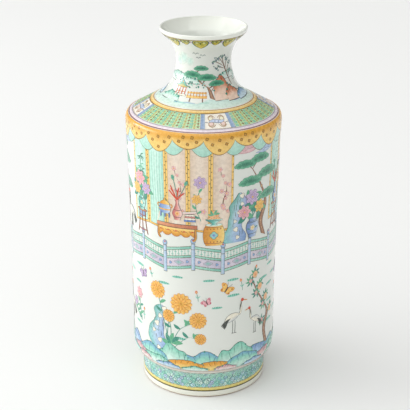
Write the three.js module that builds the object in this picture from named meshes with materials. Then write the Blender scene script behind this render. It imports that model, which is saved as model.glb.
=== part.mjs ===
// A famille rose rouleau vase, 450 mm tall, in millimetres, +Z up.
// The porcelain is thrown and turned in sections that are luted together with slip, so each section
// is its own solid and meets the next on a flat ring. The fired enamel borders lie on the glaze.
// The origin is the centre of the foot's rest face, and the front of the vase faces -Y.
import * as THREE from 'three';

// Driving dimensions of the outside, from the rest face up: heights are stacked, so each stands alone
const footRadius = 77.4;
const footEdgeRound = 5;
const footEdgeTuck = 2.9;
const restWidth = 5;
const footTaper = 0.8;
const footHeight = 27;
const heelHeight = 29;
const heelFlare = 4;
const heelFlareRise = 7.6;
const heelFlareStart = 4;
const heelRoundPull = 15;
const bodyLowRadius = 88.3;
const bodyHeight = 282;
const bodyTopRadius = 92.8;
const bodyWaisting = 2;
const edgeRise = 10.6;
const edgePull = 8.5;
const edgeBulge = 0.8;
const edgeReturn = 3.3;
const shoulderRise = 15.9;
const shoulderTopRadius = 62;
const neckRootRun = 10;
const neckRootRise = 5.7;
const neckRootPull = 6;
const throatRadius = 35.8;
const throatPull = 5.7;
const throatRise = 26.5;
const neckWaistRadius = 32.5;
const neckWaistRise = 20;
const neckWaistPull = 9;
const neckFlareRadius = 39;
const neckFlareRise = 23.2;
const neckFlarePull = 13;
const mouthRise = 16.3;
const lipRadius = 51.5;
const lipBand = 4.2;
const lipLean = 0.6;
const lipCorner = 1.2;
const lipEdge = 1.2;

// Driving dimensions of the wall and of the base
const wall = 6;
const recessDepth = 12;
const baseThickness = 7;
const baseLedge = 3;
const seatClearance = 0.3;

// The edge that the vase rests on
const restOuterRadius = footRadius - footEdgeTuck;
const restInnerRadius = restOuterRadius - restWidth;

// Levels that follow from the stacked heights
const footTop = footHeight;
const heelFlareTop = footTop + heelFlareRise;
const bodyLow = footTop + heelHeight;
const bodyTop = bodyLow + bodyHeight;
const edgeTop = bodyTop + edgeRise;
const shoulderTop = edgeTop + shoulderRise;
const neckRootTop = shoulderTop + neckRootRise;
const throat = shoulderTop + throatRise;
const neckWaist = throat + neckWaistRise;
const neckFlare = neckWaist + neckFlareRise;
const mouthTop = neckFlare + mouthRise;
const floorLevel = recessDepth + baseThickness;

// Levels of the luted seams between the thrown sections
const bodySeam = (bodyLow + bodyTop) / 2;
const neckSeam = throat - neckRootPull;
const mouthSeam = neckFlare - neckRootPull;

// Enamel borders: thickness, the hair gap that keeps them off the glaze, and where each one runs
const enamelThickness = 0.35;
const enamelGap = 0.05;
const borderGap = 0.4;
const footLineWidth = 5.6;
const footBandWidth = 12;
const shoulderLineMargin = 0.4;
const shoulderLineWidth = 2.6;
const neckLineBelow = 0.9;
const neckLineAbove = 1.7;
const mouthBorderLow = 2.2;
const mouthBorderHigh = 11.1;
const footBand = { low: footTop - borderGap - footBandWidth, high: footTop - borderGap };
const footLine = { low: footBand.low - borderGap - footLineWidth, high: footBand.low - borderGap };
const shoulderLineLow = edgeTop + shoulderLineMargin;
const shoulderLine = { low: shoulderLineLow, high: shoulderLineLow + shoulderLineWidth };
const neckLine = { low: shoulderTop - neckLineBelow, high: shoulderTop + neckLineAbove };
const diaperBand = { low: shoulderLine.high + borderGap, high: neckLine.low - borderGap };
const mouthBorder = { low: neckFlare + mouthBorderLow, high: neckFlare + mouthBorderHigh };

// The shoulder border is broken by four white reserves, the first one just right of the front
const reserveCount = 4;
const reserveSweep = THREE.MathUtils.degToRad(29);
const reserveCentre = THREE.MathUtils.degToRad(11.6);

// The mouth border hangs in ruyi heads, large and small in turn
const ruyiPairs = 8;
const ruyiDip = 2.6;

// Every turned surface has the same facets, and the mouth border needs a whole number of them per pair
const turnSteps = 72;
const point = (radius, height) => new THREE.Vector2(radius, height);

// Samples a path so that straight runs keep only their ends
function sampled(path, stepsPerCurve) {
  const points = [];
  for (const curve of path.curves) {
    const steps = curve.isLineCurve ? 1 : stepsPerCurve;
    for (const p of curve.getPoints(steps)) {
      const last = points[points.length - 1];
      if (!last || last.distanceTo(p) > 1e-6) points.push(p);
    }
  }
  return points;
}

// The outside, from the rest face to the top of the lip
function outerCurve() {
  const corner = point(lipRadius - lipLean, mouthTop - lipBand);
  const edge = point(lipRadius, mouthTop - lipEdge);
  const flare = point(neckFlareRadius, neckFlare);
  const below = corner.clone().sub(corner.clone().sub(flare).setLength(lipCorner));
  const above = corner.clone().add(edge.clone().sub(corner).setLength(lipCorner));
  const footTopRadius = footRadius - footTaper;
  const path = new THREE.Path();
  path.moveTo(restOuterRadius, 0);
  path.quadraticCurveTo(footRadius, 0, footRadius, footEdgeRound);
  path.lineTo(footTopRadius, footTop);
  path.quadraticCurveTo(
    footTopRadius, footTop + heelFlareStart,
    footTopRadius + heelFlare, heelFlareTop,
  );
  path.quadraticCurveTo(bodyLowRadius, bodyLow - heelRoundPull, bodyLowRadius, bodyLow);
  path.quadraticCurveTo(
    (bodyLowRadius + bodyTopRadius) / 2 - bodyWaisting, (bodyLow + bodyTop) / 2,
    bodyTopRadius, bodyTop,
  );
  path.quadraticCurveTo(
    bodyTopRadius + edgeBulge, bodyTop + edgePull,
    bodyTopRadius - edgeReturn, edgeTop,
  );
  path.lineTo(shoulderTopRadius, shoulderTop);
  path.lineTo(shoulderTopRadius - neckRootRun, neckRootTop);
  path.quadraticCurveTo(throatRadius + throatPull, neckRootTop + neckRootPull, throatRadius, throat);
  path.quadraticCurveTo(neckWaistRadius, neckWaist - neckWaistPull, neckWaistRadius, neckWaist);
  path.quadraticCurveTo(neckWaistRadius, neckWaist + neckFlarePull, neckFlareRadius, neckFlare);
  path.lineTo(below.x, below.y);
  path.quadraticCurveTo(corner.x, corner.y, above.x, above.y);
  path.lineTo(edge.x, edge.y);
  path.absarc(edge.x - lipEdge, edge.y, lipEdge, 0, 0.5 * Math.PI, false);
  return sampled(path, 3);
}

// Moves each point of a profile outwards, square to the profile
function raised(profile, distance) {
  return profile.map((p, i) => {
    const before = profile[Math.max(i - 1, 0)];
    const after = profile[Math.min(i + 1, profile.length - 1)];
    const along = after.clone().sub(before).normalize();
    return point(p.x + along.y * distance, p.y - along.x * distance);
  });
}

// The inside, from the floor to the top of the lip: a wall's thickness in from the outside
function innerCurve() {
  const wallOutside = outerCurve().filter((p) => p.y > heelFlareTop - 1e-6 && p.y < neckFlare + 1e-6);
  const lipInside = new THREE.Path();
  lipInside.absarc(lipRadius - lipEdge, mouthTop - lipEdge, lipEdge, Math.PI, 0.5 * Math.PI, true);
  return [
    point(restInnerRadius + baseLedge, floorLevel),
    point(restInnerRadius + baseLedge, footTop),
    ...raised(wallOutside, -wall),
    ...lipInside.getPoints(3),
  ];
}

// Adds a vertex to a rising profile at each given height
function withHeights(profile, heights) {
  const result = [...profile];
  for (const height of heights) {
    const next = result.findIndex((p) => p.y > height + 1e-6);
    const low = result[next - 1];
    const high = result[next];
    if (!low || !high || Math.abs(low.y - height) < 1e-6) continue;
    result.splice(next, 0, low.clone().lerp(high, (height - low.y) / (high.y - low.y)));
  }
  return result;
}

const between = (profile, low, high) =>
  profile.filter((p) => p.y > low - 1e-6 && p.y < high + 1e-6);

const borders = [footLine, footBand, shoulderLine, diaperBand, neckLine, mouthBorder];
const seams = [footTop, bodyLow, bodySeam, bodyTop, edgeTop, shoulderTop, neckSeam, mouthSeam];
const outer = withHeights(outerCurve(), [...seams, ...borders.flatMap((b) => [b.low, b.high])]);
const inner = withHeights(innerCurve(), seams);

// Turns a closed loop of (radius, height) points, given counterclockwise, about +Z
function turned(loop, steps = turnSteps) {
  const geometry = new THREE.LatheGeometry([...loop, loop[0]], steps);
  geometry.rotateX(Math.PI / 2);
  return geometry;
}

// One thrown section of the wall, cut flat at both seams
function wallSection(low, high) {
  return turned([...between(outer, low, high), ...between(inner, low, high).reverse()]);
}

// The foot ring: rest face below, rebate for the base inside, flat seam on top
function footRing() {
  return turned([
    ...between(outer, 0, footTop),
    ...between(inner, floorLevel, footTop).reverse(),
    point(restInnerRadius + baseLedge, recessDepth),
    point(restInnerRadius, recessDepth),
    point(restInnerRadius, 0),
  ]);
}

// The base: a disc that drops into the foot ring's rebate
function baseDisc() {
  const radius = restInnerRadius + baseLedge - seatClearance;
  const geometry = new THREE.CylinderGeometry(radius, radius, baseThickness, turnSteps);
  geometry.rotateX(Math.PI / 2);
  geometry.translate(0, 0, recessDepth + baseThickness / 2);
  return geometry;
}

// The two skins of an enamel layer over a stretch of the outside
function enamelSkins(border) {
  const glaze = between(outer, border.low, border.high);
  return {
    under: raised(glaze, enamelGap),
    over: raised(glaze, enamelGap + enamelThickness),
  };
}

function enamelRing(border) {
  const { under, over } = enamelSkins(border);
  return turned([...over, ...under.reverse()]);
}

// Places (radius, height) on the facets of a turned surface, at an angle from the front (-Y) to +X
function around(p, angle) {
  const facet = (2 * Math.PI) / turnSteps;
  const offset = angle - (Math.floor(angle / facet + 1e-9) + 0.5) * facet;
  const radius = (p.x * Math.cos(facet / 2)) / Math.cos(offset);
  return new THREE.Vector3(radius * Math.sin(angle), -radius * Math.cos(angle), p.y);
}

// Joins rings of vertices, one loop for each angle, into a closed solid: a ring or a capped sector
function solidFromLoops(loops, closesOnItself) {
  const count = loops[0].length;
  const index = [];
  const pairs = closesOnItself ? loops.length : loops.length - 1;
  for (let i = 0; i < pairs; i++) {
    const here = i * count;
    const there = ((i + 1) % loops.length) * count;
    for (let j = 0; j < count; j++) {
      const k = (j + 1) % count;
      index.push(here + j, there + j, there + k, here + j, there + k, here + k);
    }
  }
  if (!closesOnItself) {
    const half = count / 2;
    const last = (loops.length - 1) * count;
    for (let j = 0; j < half - 1; j++) {
      const a = j;
      const b = j + 1;
      const c = count - 2 - j;
      const d = count - 1 - j;
      index.push(a, b, c, a, c, d);
      index.push(last + a, last + c, last + b, last + a, last + d, last + c);
    }
  }
  const geometry = new THREE.BufferGeometry().setFromPoints(loops.flat());
  geometry.setIndex(index);
  geometry.computeVertexNormals();
  return geometry;
}

// A stretch of an enamel border between two angles
function enamelSector(border, startAngle, sweep) {
  const { under, over } = enamelSkins(border);
  const loop = [...over, ...under.reverse()];
  const facet = (2 * Math.PI) / turnSteps;
  const sliver = 0.01;
  const first = Math.ceil(startAngle / facet + sliver);
  const last = Math.floor((startAngle + sweep) / facet - sliver);
  const angles = [startAngle];
  for (let i = first; i <= last; i++) angles.push(i * facet);
  angles.push(startAngle + sweep);
  return solidFromLoops(angles.map((angle) => loop.map((p) => around(p, angle))), false);
}

// Height at radius and back again on a raised profile, for the mouth border's scalloped edge
function atHeight(profile, height) {
  const next = Math.max(1, profile.findIndex((p) => p.y >= height));
  const low = profile[next - 1];
  const high = profile[next];
  return low.clone().lerp(high, (height - low.y) / (high.y - low.y));
}

// The mouth border: its lower edge hangs in points, each second one shorter
function ruyiRing() {
  const under = raised(outer, enamelGap);
  const over = raised(outer, enamelGap + enamelThickness);
  const rows = 3;
  const loops = [];
  for (let i = 0; i < turnSteps; i++) {
    const angle = (2 * Math.PI * i) / turnSteps;
    const large = Math.max(0, Math.cos(ruyiPairs * angle));
    const small = 0.5 * Math.max(0, -Math.cos(ruyiPairs * angle));
    const edge = mouthBorder.low - ruyiDip * Math.max(large, small);
    const heights = Array.from({ length: rows + 1 }, (_, row) =>
      edge + ((mouthBorder.high - edge) * row) / rows);
    const outside = heights.map((height) => around(atHeight(over, height), angle));
    const inside = heights.map((height) => around(atHeight(under, height), angle)).reverse();
    loops.push([...outside, ...inside]);
  }
  return solidFromLoops(loops, true);
}

const porcelain = { color: 0xf3f4ee, roughness: 0.12, metalness: 0 };
const yellowEnamel = { color: 0xe0b54a, roughness: 0.25, metalness: 0 };
const oliveEnamel = { color: 0xb9a83a, roughness: 0.25, metalness: 0 };
const greenEnamel = { color: 0xa9d3ae, roughness: 0.25, metalness: 0 };
const turquoiseEnamel = { color: 0x8fcfc4, roughness: 0.25, metalness: 0 };
const lilacEnamel = { color: 0xb79ab8, roughness: 0.25, metalness: 0 };
const reserveGlaze = { color: 0xf4efe6, roughness: 0.2, metalness: 0 };

const vase = new THREE.Group();

function add(name, geometry, finish) {
  const mesh = new THREE.Mesh(geometry, new THREE.MeshStandardMaterial(finish));
  mesh.name = name;
  vase.add(mesh);
}

// The thrown sections, from the foot up
add('foot_ring', footRing(), porcelain);
add('base_disc', baseDisc(), porcelain);
add('heel', wallSection(footTop, bodyLow), porcelain);
add('lower_body', wallSection(bodyLow, bodySeam), porcelain);
add('upper_body', wallSection(bodySeam, bodyTop), porcelain);
add('shoulder_edge', wallSection(bodyTop, edgeTop), porcelain);
add('shoulder', wallSection(edgeTop, shoulderTop), porcelain);
add('neck_root', wallSection(shoulderTop, neckSeam), porcelain);
add('neck', wallSection(neckSeam, mouthSeam), porcelain);
add('mouth_rim', wallSection(mouthSeam, mouthTop), porcelain);

// The fired enamel borders
add('foot_line', enamelRing(footLine), yellowEnamel);
add('foot_band', enamelRing(footBand), turquoiseEnamel);
add('shoulder_line', enamelRing(shoulderLine), lilacEnamel);
add('neck_line', enamelRing(neckLine), yellowEnamel);
add('mouth_border', ruyiRing(), oliveEnamel);

const reservePitch = (2 * Math.PI) / reserveCount;
for (let i = 0; i < reserveCount; i++) {
  const centre = reserveCentre + i * reservePitch;
  add(
    `shoulder_reserve_${i + 1}`,
    enamelSector(diaperBand, centre - reserveSweep / 2, reserveSweep),
    reserveGlaze,
  );
  add(
    `shoulder_diaper_${i + 1}`,
    enamelSector(diaperBand, centre + reserveSweep / 2, reservePitch - reserveSweep),
    greenEnamel,
  );
}

export default vase;
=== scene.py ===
import copy
import math

import bpy
import numpy as np
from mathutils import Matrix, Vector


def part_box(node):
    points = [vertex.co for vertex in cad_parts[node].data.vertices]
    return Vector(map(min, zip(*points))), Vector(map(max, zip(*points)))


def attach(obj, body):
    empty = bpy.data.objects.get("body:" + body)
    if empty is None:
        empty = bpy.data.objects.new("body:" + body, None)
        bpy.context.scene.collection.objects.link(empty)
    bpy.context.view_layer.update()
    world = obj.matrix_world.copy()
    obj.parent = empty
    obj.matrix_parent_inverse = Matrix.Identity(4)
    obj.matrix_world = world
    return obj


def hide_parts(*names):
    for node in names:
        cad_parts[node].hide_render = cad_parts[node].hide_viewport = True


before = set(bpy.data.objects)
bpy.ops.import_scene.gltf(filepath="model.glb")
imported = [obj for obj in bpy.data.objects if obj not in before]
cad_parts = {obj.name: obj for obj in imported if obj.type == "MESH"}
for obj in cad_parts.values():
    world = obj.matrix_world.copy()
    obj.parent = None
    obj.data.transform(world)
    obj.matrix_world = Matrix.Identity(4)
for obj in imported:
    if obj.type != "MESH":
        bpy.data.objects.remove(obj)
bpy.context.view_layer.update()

# ---- Studio ----
# A pale table under soft light, seen from above the vase's front with a long lens. Light falls from
# overhead and from wide lights on the left, which also catch the edge of the glaze. The white room
# fills the shadows.

paper_white = (0.88, 0.88, 0.875, 1)
room_white = (0.985, 1.0, 0.965, 1)
room_strength = 0.31
floor_half = 90.0


def feed(node, **inputs):
    """Sets a node's inputs, named with _ for a space, to values, or links other sockets to them."""
    for name, source in inputs.items():
        socket = node.inputs[name.replace("_", " ")]
        if isinstance(source, bpy.types.NodeSocket):
            node.id_data.links.new(source, socket)
        else:
            socket.default_value = source
    return node


def new_material(name):
    """A node material: returns it, its Principled shader, and a function that adds a fed node."""
    material = bpy.data.materials.new(name)
    material.use_nodes = True
    nodes = material.node_tree.nodes

    def add(kind, **inputs):
        return feed(nodes.new("ShaderNode" + kind), **inputs)

    return material, nodes["Principled BSDF"], add


def put_in_scene(name, data, place=(0, 0, 0), turn=(0, 0, 0)):
    """An object in the scene that shows a mesh, a light or a camera."""
    thing = bpy.data.objects.new(name, data)
    thing.location = place
    thing.rotation_euler = turn
    bpy.context.scene.collection.objects.link(thing)
    return thing


def make_piece(name, points, faces, material, colours=None):
    """Turns arrays of points and faces into a smooth mesh piece, with one enamel colour per point."""
    mesh = bpy.data.meshes.new(name)
    mesh.from_pydata(np.asarray(points).tolist(), [], faces)
    mesh.polygons.foreach_set("use_smooth", np.ones(len(mesh.polygons), dtype=bool))
    if colours is not None:
        rgba = np.ones((len(points), 4), dtype=np.float32)
        rgba[:, :3] = colours
        mesh.color_attributes.new("enamel", "FLOAT_COLOR", "POINT").data.foreach_set("color", rgba.ravel())
    mesh.materials.append(material)
    mesh.update()
    return put_in_scene(name, mesh)


def add_light(name, kind, energy, away, place=(0, 0, 0), **settings):
    """A light that shines from the direction away."""
    light = bpy.data.lights.new(name, kind)
    light.energy = energy
    for setting, value in settings.items():
        setattr(light, setting, value)
    tilt = math.atan2(math.hypot(away[0], away[1]), away[2])
    put_in_scene(name, light, place, (tilt, 0, math.atan2(away[0], -away[1])))


floor_material, shader, _ = new_material("table paper")
feed(shader, Base_Color=paper_white, Roughness=0.9)
floor_corners = [(floor_half * x, floor_half * y, 0) for x, y in ((-1, -1), (1, -1), (1, 1), (-1, 1))]
floor = make_piece("studio_floor", floor_corners, [(0, 1, 2, 3)], floor_material)

room = bpy.data.worlds.new("white room")
room.use_nodes = True
feed(room.node_tree.nodes["Background"], Color=room_white, Strength=room_strength)
bpy.context.scene.world = room

add_light("key", "SUN", 0.6, (-0.87, -0.25, 0.21), angle=math.radians(56))
add_light("overhead", "SUN", 1.84, (-0.12, -0.25, 1.0), angle=math.radians(84))
add_light("rim", "SUN", 0.7, (-0.97, 0.23, 0.16), angle=math.radians(36))
add_light("softbox_left", "AREA", 28, (-2.6, 0.3, 0.75), (-2.6, 0.3, 0.95), shape="RECTANGLE", size=2.4,
          size_y=1.1)

camera_distance = 1.3788
camera_height = 0.7826
camera_pitch = math.radians(21.98)
lens = bpy.data.cameras.new("camera")
lens.lens = 106.2
lens.sensor_width = 36
lens.shift_x = 0.0034
bpy.context.scene.camera = put_in_scene("camera", lens, (0, -camera_distance, camera_height),
                                        (math.pi / 2 - camera_pitch, 0, 0))
bpy.context.scene.view_settings.view_transform = "Standard"

# ---- Porcelain wall ----
# White hard-paste porcelain, thrown and turned in rings that are luted together, then covered in a
# clear glaze with a faint blue-green cast. Each ring stands where its CAD node stands.

foot_radius = 0.0774
foot_edge_round = 0.005
foot_edge_tuck = 0.0029
rest_width = 0.005
foot_taper = 0.0008
foot_height = 0.027
heel_height = 0.029
heel_flare = 0.004
heel_flare_rise = 0.0076
heel_flare_start = 0.004
heel_round_pull = 0.015
body_low_radius = 0.0883
body_height = 0.282
body_top_radius = 0.0928
body_waisting = 0.002
edge_rise = 0.0106
edge_pull = 0.0085
edge_bulge = 0.0008
edge_return = 0.0033
shoulder_rise = 0.0159
shoulder_top_radius = 0.062
neck_root_run = 0.010
neck_root_rise = 0.0057
neck_root_pull = 0.006
throat_radius = 0.0358
throat_pull = 0.0057
throat_rise = 0.0265
neck_waist_radius = 0.0325
neck_waist_rise = 0.020
neck_waist_pull = 0.009
neck_flare_radius = 0.039
neck_flare_rise = 0.0232
neck_flare_pull = 0.013
mouth_rise = 0.0163
lip_radius = 0.0515
lip_band = 0.0042
lip_lean = 0.0006
lip_corner = 0.0012
lip_edge = 0.0012
wall = 0.006
recess_depth = 0.012
base_thickness = 0.007
base_ledge = 0.003
seat_clearance = 0.0003

foot_top_radius = foot_radius - foot_taper
rest_outer_radius = foot_radius - foot_edge_tuck
rest_inner_radius = rest_outer_radius - rest_width
body_low = foot_height + heel_height
body_top = body_low + body_height
edge_top = body_top + edge_rise
shoulder_top = edge_top + shoulder_rise
neck_root_top = shoulder_top + neck_root_rise
throat = shoulder_top + throat_rise
neck_waist = throat + neck_waist_rise
neck_flare = neck_waist + neck_flare_rise
mouth_top = neck_flare + mouth_rise


def pairs(across, up):
    """Flat points from their two coordinates, of which either may be one number for all."""
    return np.stack(np.broadcast_arrays(across, up), axis=1)


def bow(pulls, steps=16):
    """A smooth curve drawn by its pull points: each weighs in by its Bernstein polynomial."""
    pulls = np.asarray(pulls, dtype=float)
    n = len(pulls) - 1
    t = np.linspace(0, 1, steps)
    weights = [math.comb(n, i) * t ** i * (1 - t) ** (n - i) for i in range(n + 1)]
    return np.stack(weights, axis=1) @ pulls


def lip_arc(start, end):
    """Points on the lip's round edge, a circle in the (radius, height) plane."""
    turn = np.linspace(start, end, 10)
    return pairs(lip_radius - lip_edge + lip_edge * np.cos(turn),
                 mouth_top - lip_edge + lip_edge * np.sin(turn))


def along(start, end, distance):
    """The point at a distance from start on the way to end."""
    start, end = np.array(start), np.array(end)
    return start + distance * (end - start) / np.linalg.norm(end - start)


def outer_profile():
    """The outside from the rest face to the top of the lip: bows of (steps, pull points and end), each
    from the end of the one before, and the lip's arc."""
    lip = lip_arc(0, math.pi / 2)
    lip_low, flare = (lip_radius - lip_lean, mouth_top - lip_band), (neck_flare_radius, neck_flare)
    at = (rest_outer_radius, 0)
    runs = [[at]]
    for steps, *pulls in (
        (24, (foot_radius, 0), (foot_radius, foot_edge_round)),
        (12, (foot_top_radius, foot_height)),
        (24, (foot_top_radius, foot_height + heel_flare_start),
         (foot_top_radius + heel_flare, foot_height + heel_flare_rise)),
        (24, (body_low_radius, body_low - heel_round_pull), (body_low_radius, body_low)),
        (60, ((body_low_radius + body_top_radius) / 2 - body_waisting, (body_low + body_top) / 2),
         (body_top_radius, body_top)),
        (24, (body_top_radius + edge_bulge, body_top + edge_pull),
         (body_top_radius - edge_return, edge_top)),
        (12, (shoulder_top_radius, shoulder_top)),
        (5, (shoulder_top_radius - neck_root_run, neck_root_top)),
        (24, (throat_radius + throat_pull, neck_root_top + neck_root_pull), (throat_radius, throat)),
        (24, (neck_waist_radius, neck_waist - neck_waist_pull), (neck_waist_radius, neck_waist)),
        (24, (neck_waist_radius, neck_waist + neck_flare_pull), flare),
        (12, along(lip_low, flare, lip_corner)),
        (8, lip_low, along(lip_low, lip[0], lip_corner)),
        (5, lip[0]),
    ):
        runs.append(bow([at, *pulls], steps)[1:])
        at = pulls[-1]
    return np.concatenate(runs + [lip[1:]])


def outward(path):
    """Unit normals of a path: its direction of travel turned a quarter to the right."""
    travel = np.gradient(path, axis=0)
    travel /= np.linalg.norm(travel, axis=1, keepdims=True)
    return pairs(travel[:, 1], -travel[:, 0])


def inner_profile(outside):
    """The inside from the floor to the top of the lip: the outside moved in by the wall's thickness."""
    walled = (outside[:, 1] > foot_height + heel_flare_rise - 1e-6) & (outside[:, 1] < neck_flare + 1e-6)
    floor_edge = rest_inner_radius + base_ledge
    shell = (outside - wall * outward(outside))[walled]
    shell[:, 1] = np.maximum.accumulate(shell[:, 1]) + 1e-7 * np.arange(len(shell))
    foot = bow([(floor_edge, recess_depth + base_thickness), (floor_edge, foot_height)], 6)
    return np.concatenate([foot, shell, lip_arc(math.pi, math.pi / 2)])


outside = outer_profile()
outside_normal = outward(outside)
inside = inner_profile(outside)


def cut_profile(profile, low, high):
    """The stretch of a rising profile between two heights, with a point at each end."""
    ends = np.array([(np.interp(z, profile[:, 1], profile[:, 0]), z) for z in (low, high)])
    middle = profile[(profile[:, 1] > low + 2e-6) & (profile[:, 1] < high - 2e-6)]
    return np.concatenate([ends[:1], middle, ends[1:]])


def grid_faces(rows, columns, closed=True):
    """Quads of a grid of points. Its columns close into a ring, and so do its rows if it is closed."""
    i, j = np.meshgrid(np.arange(rows if closed else rows - 1), np.arange(columns), indexing="ij")
    ahead, beside = (i + 1) % rows, (j + 1) % columns
    corners = [i * columns + j, ahead * columns + j, ahead * columns + beside, i * columns + beside]
    return np.stack(corners, axis=-1).reshape(-1, 4)


def turned(radius, angle, height):
    """Points about +Z: (radius sin angle, -radius cos angle, height), with angle 0 at the front."""
    return np.stack([radius * np.sin(angle), -radius * np.cos(angle), height + 0 * angle], axis=-1)


def fired_material(name, scale, detail, sheen, bump, coat):
    """A material with a fired skin. Noise of a scale and detail varies its roughness over sheen and
    lifts it by bump (strength, depth), under a clear coat (weight, roughness)."""
    material, shader, add = new_material(name)
    place = add("TexCoord").outputs["Object"]
    noise = add("TexNoise", Vector=place, Scale=scale, Detail=detail).outputs["Fac"]
    feed(shader, Coat_Weight=coat[0], Coat_Roughness=coat[1],
         Roughness=add("MapRange", Value=noise, To_Min=sheen[0], To_Max=sheen[1]).outputs["Result"],
         Normal=add("Bump", Height=noise, Strength=bump[0], Distance=bump[1]).outputs["Normal"])
    return material, shader, add, place, noise


# Below the neck's flare, the mouth's painted brightness starts to blend in over this depth.
lit_blend_depth = 0.006


def porcelain_glaze(name, white, lit_lip_white=None):
    """Glazed porcelain: a near-white that drifts a little in hue, under a glaze with a slight ripple.
    Up to the lip it may blend into a second, lighter white: painted brightness for the light on the mouth."""
    material, shader, add, place, _ = fired_material(name, 45, 2, (0.12, 0.22), (0.15, 0.0004), (0.4, 0.06))
    drift = add("TexNoise", Vector=place, Scale=14, Detail=4)
    ramp = add("ValToRGB", Fac=drift.outputs["Fac"])
    low, high = ramp.color_ramp.elements
    low.position, low.color = 0.3, (white[0] * 0.965, white[1] * 0.985, white[2] * 0.98, 1)
    high.position, high.color = 0.7, (*white, 1)
    colour = ramp.outputs["Color"]
    if lit_lip_white:
        height = add("SeparateXYZ", Vector=place).outputs["Z"]
        rise = add("MapRange", Value=height, From_Min=neck_flare - lit_blend_depth,
                   From_Max=mouth_top - lip_band)
        colour = add("MixRGB", Fac=rise.outputs["Result"], Color1=colour,
                     Color2=(*lit_lip_white, 1)).outputs["Color"]
    feed(shader, Base_Color=colour)
    return material


glaze = porcelain_glaze("porcelain glaze", (0.81, 0.83, 0.78))
# The foot's white has a warmer tint and is also painted lighter than the body's: painted brightness for the
# light that falls on the foot.
warm_lit_foot_glaze = porcelain_glaze("warm brightened foot glaze", (0.90, 0.89, 0.79))
# The mouth's white is painted lighter towards the lip, inside and out: painted brightness for the light
# that falls on it.
lit_mouth_glaze = porcelain_glaze("brightened mouth glaze", (0.81, 0.83, 0.78), (0.90, 0.92, 0.85))
seam_split = math.radians(50)
lathe_turns = 240


def porcelain_ring(name, loop, finish=glaze):
    """A thrown ring in place of its CAD node: a closed loop of (radius, height) turned about +Z."""
    points = turned(loop[:, :1], np.arange(lathe_turns) * 2 * math.pi / lathe_turns, loop[:, 1:])
    faces = grid_faces(len(loop), lathe_turns)[:, [0, 3, 2, 1]]
    piece = make_piece(name + "_porcelain", points.reshape(-1, 3), faces.tolist(), finish)
    piece.modifiers.new("crisp seams", "EDGE_SPLIT").split_angle = seam_split
    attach(piece, "root")
    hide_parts(name)


wall_rings = ["heel", "lower_body", "upper_body", "shoulder_edge", "shoulder", "neck_root", "neck",
              "mouth_rim"]
seams = [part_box(name)[0].z for name in wall_rings] + [mouth_top]
for name, low, high in zip(wall_rings, seams, seams[1:]):
    porcelain_ring(name,
                   np.concatenate([cut_profile(outside, low, high)[::-1], cut_profile(inside, low, high)]),
                   lit_mouth_glaze if name == "mouth_rim" else glaze)

porcelain_ring("foot_ring", np.concatenate([
    cut_profile(outside, 0, foot_height)[::-1],
    [(rest_inner_radius, 0), (rest_inner_radius, recess_depth),
     (rest_inner_radius + base_ledge, recess_depth)],
    cut_profile(inside, recess_depth + base_thickness, foot_height),
]), warm_lit_foot_glaze)

# ---- Base ----
# A turned disc of the same porcelain, glazed, dropped into the rebate of the foot ring. A hair-thin
# bore at its middle keeps its mesh a closed ring.

base_radius = rest_inner_radius + base_ledge - seat_clearance
base_bore = 0.0004
base_ramp = bow([(base_bore, 0), (base_radius, 0)], 14)
porcelain_ring("base_disc", np.concatenate([
    base_ramp + [0, recess_depth],
    (base_ramp + [0, recess_depth + base_thickness])[::-1],
])[::-1])

# ---- Mouth border ----
# A fired enamel border under the lip: yellow ruyi heads, large and small in turn, with lilac trefoils
# between them. Enamel stands a little proud of the glaze it is painted on, so every mark is a thin
# closed shape whose edge sinks into the glaze.

mm = 0.001
sunk = -0.06
deep = -0.4
layer_step = 0.05
crown = 0.03
bare_rim = 0.04
lying = math.pi / 2


def tints(codes):
    """Colours given in hexadecimal as they look on screen, as the light that they reflect."""
    value = np.array([list(bytes.fromhex(code)) for code in codes.split()]) / 255
    return np.where(value <= 0.04045, value / 12.92, ((value + 0.055) / 1.055) ** 2.4)


def tint(code):
    """One colour, given in the same way."""
    return tints(code)[0]


def on_vase(angle, height, lift):
    """Points on the outside: the profile's radius at a height, moved off the glaze along its normal
    by lift, and turned by the angle from the front."""
    radius, out, up = (np.interp(height, outside[:, 1], values)
                       for values in (outside[:, 0], *outside_normal.T))
    return turned(radius + lift * out, angle, height + lift * up)


def spread(fill, *counts):
    """Colours spread evenly over a grid of counts, blended between neighbours. A fill is one colour,
    a row of colours, or rows of them."""
    fill = np.asarray(fill, dtype=float)
    fill = fill.reshape((1,) * (len(counts) + 1 - fill.ndim) + fill.shape)
    for axis, count in enumerate(counts):
        last = fill.shape[axis] - 1
        place = np.linspace(0, last, count)
        low = np.minimum(place.astype(int), max(last - 1, 0))
        share = (place - low).reshape([-1 if i == axis else 1 for i in range(fill.ndim)])
        high = np.minimum(low + 1, last)
        fill = (1 - share) * np.take(fill, low, axis) + share * np.take(fill, high, axis)
    return fill


def polar(angle, reach):
    """The step of a length at an angle from straight across."""
    return reach * np.array([math.cos(angle), math.sin(angle)])


def turn_flat(points, angle):
    """Flat points turned about the origin."""
    return points @ np.array([polar(angle, 1), polar(angle + math.pi / 2, 1)])


def disc(size, spokes=8):
    """The reach of a round dot."""
    return np.full(spokes, float(size))


def petals(count, depth, size, turn=0.0, spokes=24):
    """The reach of a flower's rim: a circle of a size, whose edge dips by depth between petals."""
    theta = np.arange(spokes) * 2 * math.pi / spokes
    return size * (1 - depth + depth * np.abs(np.cos(count * (theta - turn) / 2)))


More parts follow.
